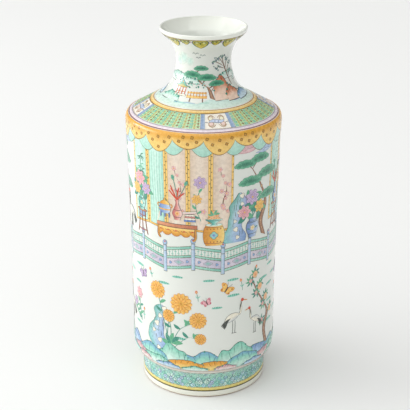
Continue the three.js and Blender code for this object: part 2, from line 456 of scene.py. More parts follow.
class Coat:
    """Enamel marks over one zone of the vase, drawn flat in millimetres, across from the front and up
    from the zone's start, and wrapped on the glaze at the zone's radius. Climb is the height gained
    per millimetre up, under 1 on a slope. A line is a pair of a colour and a width."""

    def __init__(self, radius, start=0.0, climb=1.0):
        self.radius, self.start, self.climb = radius, start, climb
        self.x, self.z, self.layer, self.marks = 0.0, 0.0, 0.0, []

    def at(self, x, z, layer=0):
        """The same coat with its origin and its layers moved, to draw one thing in its place."""
        moved = copy.copy(self)
        moved.x, moved.z, moved.layer = self.x + x, self.z + z, self.layer + layer
        return moved

    def add(self, flat, lift, faces, colours):
        """Keeps a mark: its points wrapped on the vase, its blocks of faces and its points' colours."""
        across, up = (flat.reshape(-1, 2) + [self.x, self.z]).T
        points = on_vase(across / self.radius, (self.start + self.climb * up) * mm, lift.reshape(-1) * mm)
        self.marks.append((points, faces, colours.reshape(-1, 3)))

    def ribbon(self, right, left, fill, layer=0, line=None, columns=0, around=False):
        """A mark between two edges that run the same way, its right one first. Rows follow the
        edges, and columns cross between them: a low crown, then a rim that sinks into the glaze.
        The mark closes under the glaze, along its middle or, if it is wide, column by column."""
        right, left = np.asarray(right, dtype=float), np.asarray(left, dtype=float)
        rows = len(right)
        half = np.linalg.norm(left - right, axis=1) / 2
        inner = columns or max(3, int(half.max() * 2 / 3.0) + 2)
        rim = np.minimum((line[1] if line else bare_rim) / np.maximum(half, 1e-6), 0.7)[:, None]
        edge = rim * [0, 0.1, 1]
        cross = np.concatenate([edge - 1, np.linspace(-1, 1, inner) * (1 - 1.02 * rim), 1 - edge[:, ::-1]],
                               axis=1)
        paint = spread(fill, rows, inner)
        rims = [np.ones((rows, 3, 1)) * (line[0] if line else paint[:, [k]]) for k in (0, -1)]
        lift = crown * np.sqrt(np.maximum(1 - cross ** 2, 0)) * np.minimum(half, 1)[:, None]
        lift += (self.layer + layer) * layer_step
        lift[:, [0, -1]] = sunk
        below = cross[:, -4:2:-1] if half.max() > 4 else 0 * cross[:, :1]
        cross = np.concatenate([cross, below], axis=1)
        lift = np.concatenate([lift, 2 * sunk + 0 * below], axis=1)
        paint = np.concatenate([rims[0], paint, rims[1]] + [rims[0][:, :1]] * below.shape[1], axis=1)
        flat = (right + left)[:, None] / 2 + cross[:, :, None] * (left - right)[:, None] / 2
        width = cross.shape[1]
        ends = np.arange(width)[None]
        caps = [] if around else [ends, (rows - 1) * width + ends[:, ::-1]]
        self.add(flat, lift, [grid_faces(rows, width, around)] + caps, paint)

    def band(self, low, high, fill, layer=1, steps=240, columns=0):
        """A band right round the vase between two levels, which may be numbers or one per step."""
        across = np.arange(steps) * 2 * math.pi * self.radius / steps
        self.ribbon(pairs(across, low), pairs(across, high), fill, layer, columns=columns, around=True)

    def stroke(self, path, width, colour, layer=0, swell=0.5, steps=10, line=None):
        """A brush stroke along a bow: its width swells from the tip by a power of a sine, so that
        swell 0 is an even line and 1 a pointed leaf."""
        spine = bow(path, steps)
        t = np.linspace(0.02, 0.98, steps)
        side = (width / 2 * np.sin(math.pi * t) ** swell)[:, None] * outward(spine)
        self.ribbon(spine + side, spine - side, colour, layer, line)

    def panel(self, left, right, low, high, fill, layer=0, line=None, skew=0.0, steps=8):
        """A panel between two upright edges. Skew lifts its right edge, and a line may frame it."""
        rise = np.linspace(low, high, steps)
        self.ribbon(pairs(right, rise + skew), pairs(left, rise), fill, layer, line)
        for level in (low, high) if line else ():
            self.stroke([(left, level), (right, level + skew)], 2 * line[1], line[0], layer + 0.6, 0.1,
                        max(4, int((right - left) / 3)))

    def blob(self, at, reach, fill, layer=0, line=None, turn=0.0, squash=1.0):
        """A rounded mark about a centre, whose reach varies with the angle. Rings spread from the
        centre, colours run from the centre to the rim, and squash narrows it across."""
        reach = np.asarray(reach, dtype=float)
        spokes, rings = len(reach), max(2, int(reach.max() / 2.5) + 1)
        rim = np.minimum((line[1] if line else bare_rim) / reach, 0.5)[None]
        share = np.linspace(0, 1, rings + 1)[1:, None] * (1 - 1.02 * rim)
        share = np.concatenate([share, 1 - rim, 1 - 0.1 * rim, 1 + 0 * rim])
        theta = np.arange(spokes) * 2 * math.pi / spokes
        flat = share[..., None] * reach[:, None] * pairs(squash * np.cos(theta), np.sin(theta))
        flat = np.concatenate([[at], turn_flat(flat.reshape(-1, 2), turn) + at, [at]])
        base = (self.layer + layer) * layer_step
        lift = base + crown * np.sqrt(np.maximum(1 - share ** 2, 0))
        lift[-1] = sunk
        lift = np.concatenate([[base + crown], lift.reshape(-1), [deep]])
        paint = spread(fill, rings + 1)
        outer = np.concatenate([paint[1:], [line[0] if line else paint[-1]] * 3])
        paint = np.concatenate([paint[:1], np.repeat(outer, spokes, axis=0), paint[:1]])
        j = np.arange(spokes)
        beside, rim_start = (j + 1) % spokes, 1 + spokes * (len(share) - 1)
        top = pairs(1 + j, 1 + beside)
        under = pairs(rim_start + beside, rim_start + j)
        fans = [np.insert(fan, 0, centre, axis=1)
                for fan, centre in ((top, 0), (under, rim_start + spokes))]
        self.add(flat, lift, [fans[0], 1 + grid_faces(len(share), spokes, False), fans[1]], paint)

    def piece(self, name, slot, *nodes, finish=None):
        """Makes the coat's marks one piece, in place of the CAD nodes that it stands for."""
        points, blocks, colours = zip(*self.marks)
        starts = np.cumsum([0] + [len(mark) for mark in points])
        faces = [face for start, mark in zip(starts, blocks) for block in mark
                 for face in (block + start).tolist()]
        piece = make_piece(name, np.concatenate(points), faces, finish or enamel, np.concatenate(colours))
        piece.modifiers.new("crisp rims", "EDGE_SPLIT").split_angle = seam_split
        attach(piece, "root")
        if nodes:
            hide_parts(*nodes)


def enamel_finish(name, mottle, gloss):
    """Fired enamel: the painted colour, mottled where it pooled, with fine pits in a glossy skin."""
    material, shader, add, _, pool = fired_material(name, 260, 3, (gloss, gloss + 0.15), (0.2, 0.0002),
                                                    (0.25, 0.1))
    paint = add("Attribute")
    paint.attribute_name = "enamel"
    shade = add("MapRange", Value=pool, From_Min=0.3, From_Max=0.7, To_Min=1 - mottle,
                To_Max=1 + mottle / 2)
    mixed = add("MixRGB", Fac=1, Color1=paint.outputs["Color"], Color2=shade.outputs["Result"])
    mixed.blend_type = "MULTIPLY"
    feed(shader, Base_Color=mixed.outputs["Color"])
    return material


enamel = enamel_finish("famille rose enamel", 0.10, 0.2)
ruyi_gold, ruyi_point, ruyi_pale, ruyi_ink, ruyi_olive = tints("c6ba4e e4c854 e4e296 305436 aea83a")
ruyi_mauve, mouth_brown = tints("be96ba 96703c")

mouth_coat = Coat(46.0, start=neck_flare / mm, climb=0.71)
mouth_line = 15.0
ruyi_pairs = 8
ruyi_turn = math.radians(-4.5)
head_rise = [-1.6, -0.6, 1.2, 3.6, 6.2, 8.8, 11.2, 13.2, 14.4, 14.9]
head_half = [0.2, 2.2, 4.9, 7.3, 9.0, 9.8, 9.8, 9.0, 7.6, 5.6]
mouth_coat.band(mouth_line - 0.1, mouth_line + 0.7, mouth_brown, 5)


def ruyi_head(art, size, heart):
    """A ruyi head that hangs from the line: a pointed heart, with a pale curl in each upper lobe."""
    def put(*points):
        return [(across * size, (up - mouth_line) * size) for across, up in points]

    rise = np.linspace(head_rise[0], head_rise[-1], 26)
    half = np.interp(rise, head_rise, head_half)
    art.ribbon(put(*zip(half, rise)), put(*zip(-half, rise)), [[ruyi_point], [heart], [heart]], 2,
               (ruyi_ink, 1.5 * size ** 0.5))
    for hand in (-1, 1):
        art.blob(*put((hand * 4.6, 10.6)), disc(3.0 * size, 14), [ruyi_pale, ruyi_pale, heart], 4, None,
                 hand * 0.5, 0.75)
        curl = put((0, 9.6), (hand * 2.2, 15.4), (hand * 8.6, 13.6), (hand * 7.4, 7.4), (hand * 4.2, 9.0))
        art.stroke(curl, 0.95 * size ** 0.5, ruyi_ink, 6, 0.3, 14)
    art.stroke(put((0, 9.8), (0, 7.2)), 1.5 * size, ruyi_ink, 6, steps=5)


for i in range(2 * ruyi_pairs):
    size, heart, gap = (0.62, ruyi_olive, 0.39) if i % 2 else (1.0, ruyi_gold, 0.61)
    art = mouth_coat.at(mouth_coat.radius * (ruyi_turn + math.pi * i / ruyi_pairs), mouth_line)
    ruyi_head(art, size, heart)
    art = art.at(mouth_coat.radius * math.pi / ruyi_pairs * gap, 0)
    art.blob((0, -4.6), petals(3, 0.35, 1.5), ruyi_mauve, 1)
    art.stroke([(-1.8, -0.4), (0, -3.2), (1.8, -0.4)], 1.3, ruyi_olive, 1, 0.3, 6)
mouth_coat.piece("mouth_ruyi_border", "olive_enamel", "mouth_border")

# ---- Neck line ----
# A yellow enamel line where the neck springs from the shoulder, edged with a brown line above and a
# dark one below. Its upper half is painted paler as a highlight.

line_gold, line_painted_highlight, line_brown, line_dark = tints("f0ba4e faeab8 b27c34 785c2c")
neck_line_coat = Coat(61.0, start=shoulder_top / mm)
# The upper half of the line is painted paler: a painted highlight.
neck_line_coat.band(-0.9, 1.9, [line_gold, line_gold, line_painted_highlight, line_painted_highlight], 2)
neck_line_coat.band(-1.0, -0.6, line_dark, 3)
neck_line_coat.band(1.4, 1.9, line_brown, 3)
neck_line_coat.piece("neck_yellow_line", "yellow_enamel", "neck_line")

# ---- Shoulder ----
# A soft green diaper runs round the slope, studded with turquoise, yellow and brown flowers in
# columns. Four white reserves break it, each with blue bars at its sides and a scroll between them.

diaper_green, diaper_light, diaper_net, stud_turquoise = tints("b2d8ac cee2b2 80a670 7ac6b8")
stud_yellow, stud_brown, stud_green, reserve_white, bar_blue = tints("e6dc8e 92623e 78b880 f4eee2 8ea6c8")
bar_pale, bar_line, scroll_blue, scroll_light, scroll_heart = tints("b0c4d8 788ca8 a4b8d6 ced8ec e0e2f2")
scroll_brown, scroll_grey, curl_yellow, curl_pink = tints("a68058 707482 f0ecce eccec4")
brush = np.random.default_rng(7)
reserve_count = 4
reserve_centre = math.radians(11.6)
reserve_sweep = math.radians(29)
slope_radius = 78.0
slope_run = body_top_radius - edge_return - shoulder_top_radius
slope_climb = shoulder_rise / math.hypot(shoulder_rise, slope_run)
diaper_low = 6.7
diaper_rise = 22.7
diaper_columns = 21
diaper_rows = 5


def slope_coat():
    """An empty coat for the shoulder's slope, drawn from its lower edge at its middle radius."""
    return Coat(slope_radius, start=edge_top / mm, climb=slope_climb)


half = slope_radius * reserve_sweep / 2
side_of_bar = half - 2.9
for i in range(reserve_count):
    centre = slope_radius * (reserve_centre + i * 2 * math.pi / reserve_count)
    top = diaper_rise / 2
    art = slope_coat().at(centre, diaper_low + top)
    art.panel(-half, half, -top, top, reserve_white, 1, (scroll_brown, 0.25))
    for side in (-1, 1):
        x = side * side_of_bar
        art.panel(x - 2.6, x + 2.6, 0.2 - top, top - 0.2, [bar_pale, bar_blue, bar_blue], 2.5,
                  (bar_line, 0.3))
        art.stroke([(side * 10, -2.4), (side * 13, -0.6), (x - side * 2.6, -2)], 0.9, scroll_grey, 4)
        for rise, curl in ((4.1, curl_yellow), (-4.1, curl_pink)):
            art.blob((side * 7.0, rise), disc(3.5, 20), curl, 3, (scroll_brown, 0.95))
            art.stroke([(side * 10.6, 1.4 * rise), (side * 6, 3.0 * rise), (side * 1.5, 1.1 * rise)], 1.1,
                       scroll_brown, 4, steps=12)
    art.stroke([(-9.5, -1.4), (-4, 3.6), (4, -3.4), (9.5, 1.4)], 5.6,
               [scroll_blue, scroll_light, scroll_blue], 5, 0.6, 16, (scroll_grey, 0.4))
    art.blob((0, 0), petals(4, 0.3, 3.2, 0.6), [scroll_heart, scroll_blue], 6, (scroll_grey, 0.5))
    art.piece(f"shoulder_reserve_{i + 1}_scroll", "white_glaze", f"shoulder_reserve_{i + 1}")

    art = slope_coat().at(centre + half + 0.3, diaper_low)
    width = 2 * slope_radius * math.pi / reserve_count - 2 * half - 0.6
    art.panel(0, width, 0, diaper_rise, [diaper_light, diaper_green, diaper_light], 1, steps=10)
    pitch, rise = width / diaper_columns, diaper_rise / diaper_rows
    for row in range(2 * diaper_rows):
        y = (row + 0.5) * rise / 2
        art.stroke([(0.2, y), (width - 0.2, y)], 0.5, diaper_net if row % 2 else diaper_light, 2, 0.02, 28)
    for column in range(diaper_columns):
        x, kind = (column + 0.5) * pitch, column % 3
        if kind:
            art.stroke([(x, 0.2), (x, diaper_rise - 0.2)], 2.0, stud_yellow if kind == 1 else diaper_green,
                       2.5, 0.04, 8)
        for row in range(diaper_rows):
            y = (row + (0.5, 0.32, 0.68)[kind]) * rise
            if kind == 0:
                art.blob((x, y), petals(4, 0.35, brush.uniform(1.7, 2.5), 0.8),
                         [stud_yellow, stud_turquoise, stud_turquoise], 4, (stud_green, 0.35))
            else:
                art.blob((x, y), petals(4, 0.3, 1.25), [stud_yellow, stud_brown] if kind == 1
                         else stud_brown, 4)
                art.blob((x, y + rise / 2), disc(0.75, 10), stud_green, 4)
    art.piece(f"shoulder_diaper_{i + 1}_flowers", "green_enamel", f"shoulder_diaper_{i + 1}")

# ---- Shoulder edge line ----
# A pale lilac enamel line just above the rounded edge of the shoulder, with a dark mauve line
# below it and a grey one above.

edge_coat = slope_coat()
edge_coat.band(1.2, 5.8, tints("f0e0e2 ece0e8 d6cad8"))
edge_coat.band(0.2, 1.7, tint("8e6268"), 2)
edge_coat.band(5.2, 6.0, tint("928892"), 2)
edge_coat.piece("shoulder_lilac_line", "lilac_enamel", "shoulder_line")

# ---- Foot line and foot band ----
# The foot carries a yellow line with a dark lower edge, and above it a band of cloud scrolls in
# turquoise, pale green, pale blue and mauve, outlined in a dark blue green. The scrolls run on over
# the flare of the heel and end at a pinkish line.

foot_line_coat = Coat(77.0)
foot_line_coat.band(8.9, 14.2, tints("ceb454 eedc82 f0e092"))
foot_line_coat.band(8.5, 10.0, tint("484222"), 2)
foot_line_coat.band(13.6, 14.3, tint("9e8c42"), 2)
foot_line_coat.piece("foot_yellow_line", "yellow_enamel", "foot_line")

scroll_greens = tints("a4e6d4 c4f2de aedeea c0d0ea 98deca daf6ea c6eaf0")
scroll_inks = tints("305c6c 689ea0 569088")
scroll_pale = tint("ecfaf2")
scroll_curl = np.array([(0.75, 0), (0.6, 1.0), (-0.9, 0.8), (-0.7, -0.9), (0.5, -0.5), (0.1, 0.1)])


def cloud_scrolls(coat, levels, columns, size):
    """Rows of cloud scrolls: lobed patches in blue greens, each with a dark spiral drawn in it."""
    step = 2 * math.pi * coat.radius / columns
    for row, level in enumerate(levels):
        for column in range(columns):
            art = coat.at((column + 0.5 * (row % 2) + brush.uniform(-0.15, 0.15)) * step,
                          level + brush.uniform(-0.4, 0.4))
            reach = size * brush.uniform(0.85, 1.1)
            spin = brush.uniform(0, 2 * math.pi)
            fill = scroll_greens[brush.integers(len(scroll_greens))]
            scroll_ink = scroll_inks[brush.integers(len(scroll_inks))]
            art.blob((0, 0), petals(5, 0.22, reach, spin, 20), [scroll_pale, fill, fill],
                     2 + 0.3 * (column % 2) + 0.6 * (row % 2), (scroll_ink, 0.5))
            art.stroke(turn_flat(scroll_curl * reach, spin), 0.7, scroll_ink, 4.2, steps=12)


foot_coat = Coat(77.0)
foot_coat.band(14.7, 26.8, tints("8ed6c2 a8e2d0"))
cloud_scrolls(foot_coat, (16.8, 20.8, 24.8), 72, 3.4)
foot_coat.piece("foot_scroll_band", "turquoise_enamel", "foot_band")

flare_coat = Coat(78.5)
flare_coat.band(27.0, 37.2, tints("a0dcc6 c8ecdc"))
cloud_scrolls(flare_coat, (29.6, 33.8), 64, 3.2)
flare_coat.band(36.8, 37.6, tint("b2a08c"), 3)
flare_coat.band(40.2, 41.2, tint("dec4b8"), 7)
flare_coat.piece("heel_scroll_band", "turquoise_enamel")

# ---- Foot's unglazed edge ----
# Just above the rest face the glaze was wiped off before the firing, and the bare paste shows as a
# thin brownish ring.

bare_edge = Coat(75.5)
bare_edge.band(0.3, 1.6, tints("96704e c4aa8a"))
bare_edge.piece("foot_bare_edge", "porcelain", finish=enamel_finish("bare paste", 0.12, 0.6))

# ---- Lappet border ----
# Golden brocade lappets hang from the shoulder's edge right round the body, deep and shallow in
# turn, over a row of turquoise ones. They are spotted in dark brown and outlined.

body_radius = 90.5
body_girth = 2 * math.pi * body_radius
brocade, brocade_deep, brocade_spot, soft_ink, lining = tints("fcd278 e8ac44 745422 68684c b0e2d0")
lining_pale, hem_brown = tints("c8ecde 966828")
lappet_count = 16
lappet_top = edge_top / mm - 0.3
lappet_steps = 640
deep_spots = ((0, 19), (-8, 12), (8, 12), (0, 7), (-14, 5.5), (14, 5.5))
shallow_spots = ((0, 12), (-10, 9), (10, 9), (-5, 4), (5, 4))


def lappet_edge(depths, shift):
    """The lower edge of a row of lappets: half sines that hang by each depth in turn from cusps."""
    share = np.arange(lappet_steps) * lappet_count / lappet_steps + shift
    depth = np.take(depths, share.astype(int) % len(depths))
    return lappet_top - 8 - depth * np.abs(np.sin(math.pi * share)) ** 0.7


lappets = Coat(body_radius)
under_edge = lappet_edge([19, 19], 0.5)
golden_edge = lappet_edge([17, 10], 0)
lappets.band(under_edge, lappet_top - 6, [lining, lining_pale], 4, lappet_steps)
lappets.band(under_edge, under_edge + 0.6, soft_ink, 5, lappet_steps)
lappets.band(golden_edge, lappet_top - 4, [brocade, brocade, brocade_deep], 6, lappet_steps)
lappets.band(lappet_top - 4.2, lappet_top, brocade_deep, 7, columns=12)
lappets.band(golden_edge - 0.1, golden_edge + 0.7, hem_brown, 7, lappet_steps)
for i in range(lappet_count):
    art = lappets.at(body_girth / lappet_count * (i + 0.5), lappet_top, 8)
    for across, down in shallow_spots if i % 2 else deep_spots:
        art.blob((across, -down), petals(4, 0.3, 2.1, 0.4), [brocade_deep, brocade_spot])
lappets.piece("body_lappet_border", "yellow_enamel")

# ---- Folding screens ----
# Behind the garden things stand folding screens whose leaves zigzag. Each leaf is turquoise or
# buff silk in a golden brocade mount, painted with bamboo, plum blossom or peonies.

silk_turquoise = tints("b6e4d4 d2f2e4 bee8d8")
silk_buff = tints("ead4be f2e2d0 e2ccb4")
silk_fold, bamboo_dark, bamboo_green, bark, leaf_green = tints("96d0bc 468470 7abea0 78543e 64b28a")
leaf_teal, leaf_vein, stamen = tints("40927e c4e2be eec454")
stone_blue = tints("96b4d2 7896be")
rose_shades = tints("f4ced0 e28c9c be4c64")
gold_shades = tints("fcda82 f4b048 c47024")
mauve_shades = tints("dcc8e2 b294c4 7c5c94")
screen_low = 227.0
screen_height = 104.0
screen_lean = 3.2
mount_width = 2.6


def through(points, steps):
    """A curve through every point: cubic pieces whose slopes come from the neighbours on each side."""
    points = np.asarray(points, dtype=float)
    slope = np.gradient(points, axis=0)
    place = np.linspace(0, len(points) - 1, steps)
    i = np.minimum(place.astype(int), len(points) - 2)
    u = (place - i)[:, None]
    return ((1 + 2 * u) * (1 - u) ** 2 * points[i] + u * (1 - u) ** 2 * slope[i]
            + u ** 2 * (3 - 2 * u) * points[i + 1] - u ** 2 * (1 - u) * slope[i + 1])


def limb(art, path, steps, halves, slope, fill, line=None):
    """A limb along a curve, tapered between two half widths. Returns the curve."""
    spine = through(path, steps)
    half = np.linspace(*halves, steps)[:, None] * [1, slope]
    art.ribbon(spine + half, spine - half, fill, 0, line)
    return spine


def leaf(art, angle, length, width, colour, vein=None):
    """A pointed leaf that grows at an angle, a little bowed, with a vein if one is given."""
    tip = polar(angle, length)
    path = np.array([0 * tip, tip / 2 + 0.18 * polar(angle + math.pi / 2, length), tip])
    art.stroke(path, width, colour, 0, 0.8, 8)
    if vein is not None:
        art.stroke(path * 0.9, 0.35, vein, 0.4, 0.3, 5)


def peony(art, size, shades):
    """A peony: rings of lobed petals, each smaller than the last, pale at the rim, round the stamens."""
    for ring, (share, lobes) in enumerate(((1, 7), (0.74, 6), (0.5, 5), (0.3, 4))):
        art.blob((0, 0), petals(lobes, 0.34, size * share, 1.3 * ring + size, 42 - 6 * ring),
                 shades[[1, 1, 0]], 0.5 * ring, (shades[2], 0.4))
    art.blob((0, 0), disc(0.13 * size), stamen, 2)


def blossom(art, size, shades):
    """A small flower of five round petals with a golden eye."""
    art.blob((0, 0), petals(5, 0.4, size, art.x, 30), shades[[1, 0]], 0, (shades[2], 0.3))
    art.blob((0, 0), disc(0.28 * size), stamen, 0.5)


def bamboo(art, height, lean):
    """A bamboo stem in jointed lengths, with pointed leaves that hang in threes from its joints."""
    joints = np.linspace(0, height, 7)
    for k, (a, b) in enumerate(zip(joints, joints[1:])):
        art.stroke([(lean * a, a + 0.3), (lean * b, b - 0.3)], 1.5, [bamboo_dark, bamboo_green], 0, 0.1, 4)
        for turn in (-0.5, -1.0, -2.3, -2.8, 0.5) if k > 1 else ():
            leaf(art.at(lean * b, b, 1), turn + 0.2 * math.sin(3 * k + art.x), 7.5, 1.5,
                 bamboo_dark if k % 2 else bamboo_green)


def flowering_branch(art, path, shades):
    """A knotted branch along a curve, with side twigs and blossoms at even steps."""
    spine = limb(art, path, 42, (0.85, 0.15), -1.6, bark)
    for k, knot in enumerate(spine[6::6], 1):
        twig = polar(2.4 * k, 5.5) + [0, 2.2]
        art.stroke([knot, knot + 0.6 * twig + [0.6, 0], knot + twig], 0.7, bark, steps=6)
        blossom(art.at(*(knot + twig), 1), 2.9, shades)
        blossom(art.at(*(knot + 0.3 * twig[::-1]), 1.2), 2.32, shades)


def leafy_stem(art, path, leaf_size, every=5, bare=2):
    """A stem along a curve, with veined leaves on alternate sides above its bare foot."""
    spine = limb(art, path, 4 * every, (0.45, 0.45), 0, leaf_teal)
    for k, (x, z) in enumerate(spine[bare::3]):
        leaf(art.at(x, z, 0.6), (0.7 if k % 2 else 2.4) + 0.3 * math.sin(art.x + x), leaf_size,
             0.42 * leaf_size, leaf_green if k % 3 else leaf_teal, leaf_vein)


def screen_leaf(art, width, silk, lean):
    """One leaf of a screen: a spotted mount, its silk, and thin dark lines. Lean lifts its right edge."""
    rise, far = lean * mount_width / width, width - mount_width
    art.panel(0, width, 0, screen_height, [brocade, brocade_deep, brocade], 1, (soft_ink, 0.3), lean)
    art.panel(mount_width, far, mount_width + rise, screen_height - mount_width + rise, silk, 2,
              (soft_ink, 0.25), lean - 2 * rise)
    for k, share in enumerate(np.linspace(0.04, 0.96, 21)):
        side = 0.42 * mount_width if k % 2 else width - 0.42 * mount_width
        art.blob((side, lean * side / width + share * screen_height), disc(0.7), brocade_spot, 2)


def folding_screen(name, x, widths, pictures):
    """A screen of several leaves, which lean up and down by turns, and a picture for each."""
    coat, low = Coat(body_radius), screen_low
    for k, (width, picture) in enumerate(zip(widths, pictures)):
        lean = -screen_lean if k % 2 else screen_lean
        screen_leaf(coat.at(x, low), width, silk_turquoise if picture in ("bamboo", "plain") else silk_buff,
                    lean)
        art = coat.at(x + width / 2, low, 3)
        if picture == "bamboo":
            bamboo(art.at(-3, 10), 74, 0.05)
            bamboo(art.at(4, 14), 52, -0.04)
            art.blob((0, 11), petals(3, 0.4, 6.5), stone_blue, 2.5, (soft_ink, 0.3), squash=1.2)
        elif picture == "plain":
            for across in np.linspace(-8.5, 8.5, 6):
                art.stroke([(across, 6), (across + 2, 30), (across - 2, 60), (across * 1.1, 92)], 0.8,
                           silk_fold, 0, 0.2, 30)
        elif picture == "plum":
            path = np.array([(-9, 22), (-1, 36), (-5, 56), (6, 80)]) * [1 if k % 2 else -1, 1]
            flowering_branch(art, path, rose_shades if k % 3 else gold_shades)
        elif picture == "peony":
            leafy_stem(art, [(2, 12), (-4, 30), (1, 52)], 7)
            peony(art.at(1, 60, 2), 8, mauve_shades)
            peony(art.at(-3, 39, 2), 6.5, gold_shades)
            blossom(art.at(5, 24, 2), 3.2, rose_shades)
        x += width
        low += lean
    coat.piece(name, "turquoise_enamel")


folding_screen("screen_front", -98, [27, 26, 27, 26, 27], ["bamboo", "plain", "plum", "peony", "plum"])
folding_screen("screen_right", 92, [26, 27, 26, 27], ["plain", "peony", "bamboo", "plum"])
folding_screen("screen_back", -246, [27, 26, 27, 26], ["plum", "bamboo", "peony", "plain"])

# ---- Garden things ----
# On the terrace in front of the screens stand a low table, tall stands, drum stools and garden
# rocks, with jars of peonies, a censer, dishes of fruit, coral, a pine and cranes among them.

ink, lacquer, lacquer_dark = tints("464c46 a05434 603428")
lacquer_red = tints("c47454 e29c74")
stand_top = [tint("d6b080"), lacquer]
table_buff, paper = tints("e8dcc8 f6f0de")
jar_blue = tints("cedcee 96b2da 708ec4")
jar_turquoise = tints("cef0e6 78c8ba 54a69c")
jar_rose = tints("f6d6ce e2968c c46c68")
jar_gold = tints("fcde8c f0b44c d48c2c")
rock_blue = [tints("789ace a8c4e6 88d0c6"), tints("96b4dc c4d8ec 78beb0"), tints("b0a4d2 96cece 68aca0")]
rock_teal = [tints("70c4ac a0dec8 80acd6"), tints("88d2ba beead8 96b8de")]
coral_red, feather_blue, book_blue, book_red, pine_dark = tints("d64e32 465aaa 6e8cc4 ce8c82 347a62")
pine_green, pine_light, bark_pale, bark_knot, crane_grey = tints("54a282 76c09c be8c68 cea47c ced4d6")
peach = tints("f09260 fcd6a0")
cloud_rose = tints("f0d6d6 e2b2b8")
cloud_blue = tints("d4e2f2 a8c2e2")
small_bunch = ((-9, 8, 8), (9, 11, 8), (-2, 22, 10))
large_bunch = ((-12, 10, 9), (11, 13, 8.5), (-1, 27, 10))


def pot(art, profile, fill, rings=()):
    """A pot seen from the front, from its profile of (half width, height), with painted rings."""
    side = through(profile, 24)
    art.ribbon(side, side * [-1, 1], fill, 0, (ink, 0.35))
    for level, width, colour in rings:
        half = np.interp(level, side[:, 1], side[:, 0]) - 0.3
        art.stroke([(-half, level + 0.3), (0, level - 0.9), (half, level + 0.3)], width, colour, 1, 0.05, 8)


def drum_stool(art):
    """A porcelain garden seat: a barrel with rows of bosses and a blue window in its side."""
    pot(art, [(9.5, 0), (12, 5), (13, 13), (12, 21), (9.8, 26)], jar_gold,
        [(3, 0.7, lacquer), (23.4, 0.7, lacquer)])
    for across in (-8, -4, 0, 4, 8):
        for level in (5.0, 21.4):
            art.blob((across, level - 0.05 * (8 - abs(across))), disc(0.8), lacquer, 1)
    art.blob((0, 13), petals(4, 0.25, 5.4, spokes=28), jar_turquoise[:2], 1, (lacquer, 0.6))
    art.blob((0, 13), petals(4, 0.3, 2.4), jar_blue[:0:-1], 2)
    art.blob((0, 26.4), disc(9.9, 24), [paper, jar_turquoise[0]], 1.4, (ink, 0.4), lying, 0.2)


def low_table(art, width):
    """A long low bench: a buff top drawn from above, a red lacquer edge, a golden apron, curled feet."""
    top, back, lean, steps = 20, 33, 3, 40
    art.ribbon([(0, top), (width / 2, top), (width, top)],
               [(lean, back), (width / 2, back), (width - lean, back)],
               [paper, table_buff], 0, (ink, 0.35), 6)
    art.panel(-0.8, width + 0.8, top - 4, top + 0.4, lacquer_red, 1, (ink, 0.3))
    across = np.linspace(1, width - 1, steps)
    hem = 9 - 4.5 * np.abs(np.cos(np.linspace(0, 4 * math.pi, steps))) ** 0.5
    art.ribbon(pairs(across, hem), pairs(across, top - 4.2), jar_gold[::-1], 1, (lacquer, 0.5), 8)
    for x, hand in ((1.5, 1), (width - 1.5, -1)):
        art.stroke([(x, top - 4), (x + 0.5 * hand, 8), (x - 2 * hand, 3), (x + 3 * hand, 0)], 3.2,
                   [lacquer, jar_gold[1]], 2, 0.2, 12, (ink, 0.3))
    for k in range(5):
        x = (k + 0.5) * width / 5
        art.stroke([(x - 4, top - 7), (x - 2, top - 11.5), (x + 2, top - 5.5), (x + 4, top - 10)], 0.9,
                   lacquer, 2)
        art.blob((x, top - 8.2), disc(1.0), coral_red, 2.4)


def tall_stand(art, height):
    """A tall flower stand of brown lacquer: an oval top, three thin legs, a waist ring and a foot rail."""
    for hand in (-1, 1, 0):
        art.stroke([(6.4 * hand, height - 2), (4.48 * hand, height / 2), (9.6 * hand, 0)], 1.5,
                   [lacquer_dark, lacquer], 0, 0.1)
    for level, reach in ((5, 8), (height - 8, 6.8)):
        art.stroke([(-reach, level), (0, level - 1.2), (reach, level)], 1.2, lacquer, 1, 0.1)
    art.blob((0, height - 1), disc(9.6, 24), stand_top, 1, (ink, 0.35), lying, 0.22)


def peony_jar(art, size, fill, bunch, *colours):
    """A jar with a bunch of peonies: stems and leaves fan out of its mouth under the flower heads."""
    mouth = np.array([0, 21 * size])
    for k, ((across, up, reach), shades) in enumerate(zip(bunch, colours)):
        step = np.array([across, up])
        art.stroke([mouth, mouth + step * [0.2, 0.7], mouth + step], 0.9, leaf_teal, 0, 0.1)
        for turn in (-0.9, 0.6, 2.2, 3.9):
            leaf(art.at(*(mouth + 0.8 * step), 1), turn + 0.7 * k, 1.7 * reach, 0.75 * reach,
                 leaf_green if turn < 1 else leaf_teal, leaf_vein)
        peony(art.at(*(mouth + step), 2 + 0.1 * k), reach, shades)
    profile = np.array([(4.2, 0), (5, 2), (7.6, 8), (8.2, 13), (6.6, 17.5), (4.4, 19), (4.8, 21)]) * size
    pot(art.at(0, 0, 5), profile, fill,
        [(4 * size, 0.7, ink), (16.6 * size, 0.7, ink), (18 * size, 0.5, ink)])
    art.blob((0, 10.4 * size), petals(5, 0.35, 3.6 * size, spokes=30), [stamen, paper], 6, (ink, 0.3))
    for hand in (-1, 1):
        leaf(art.at(hand * 3 * size, 9.5 * size, 6), 0.3 if hand > 0 else 2.8, 4 * size, 1.6 * size,
             leaf_teal)


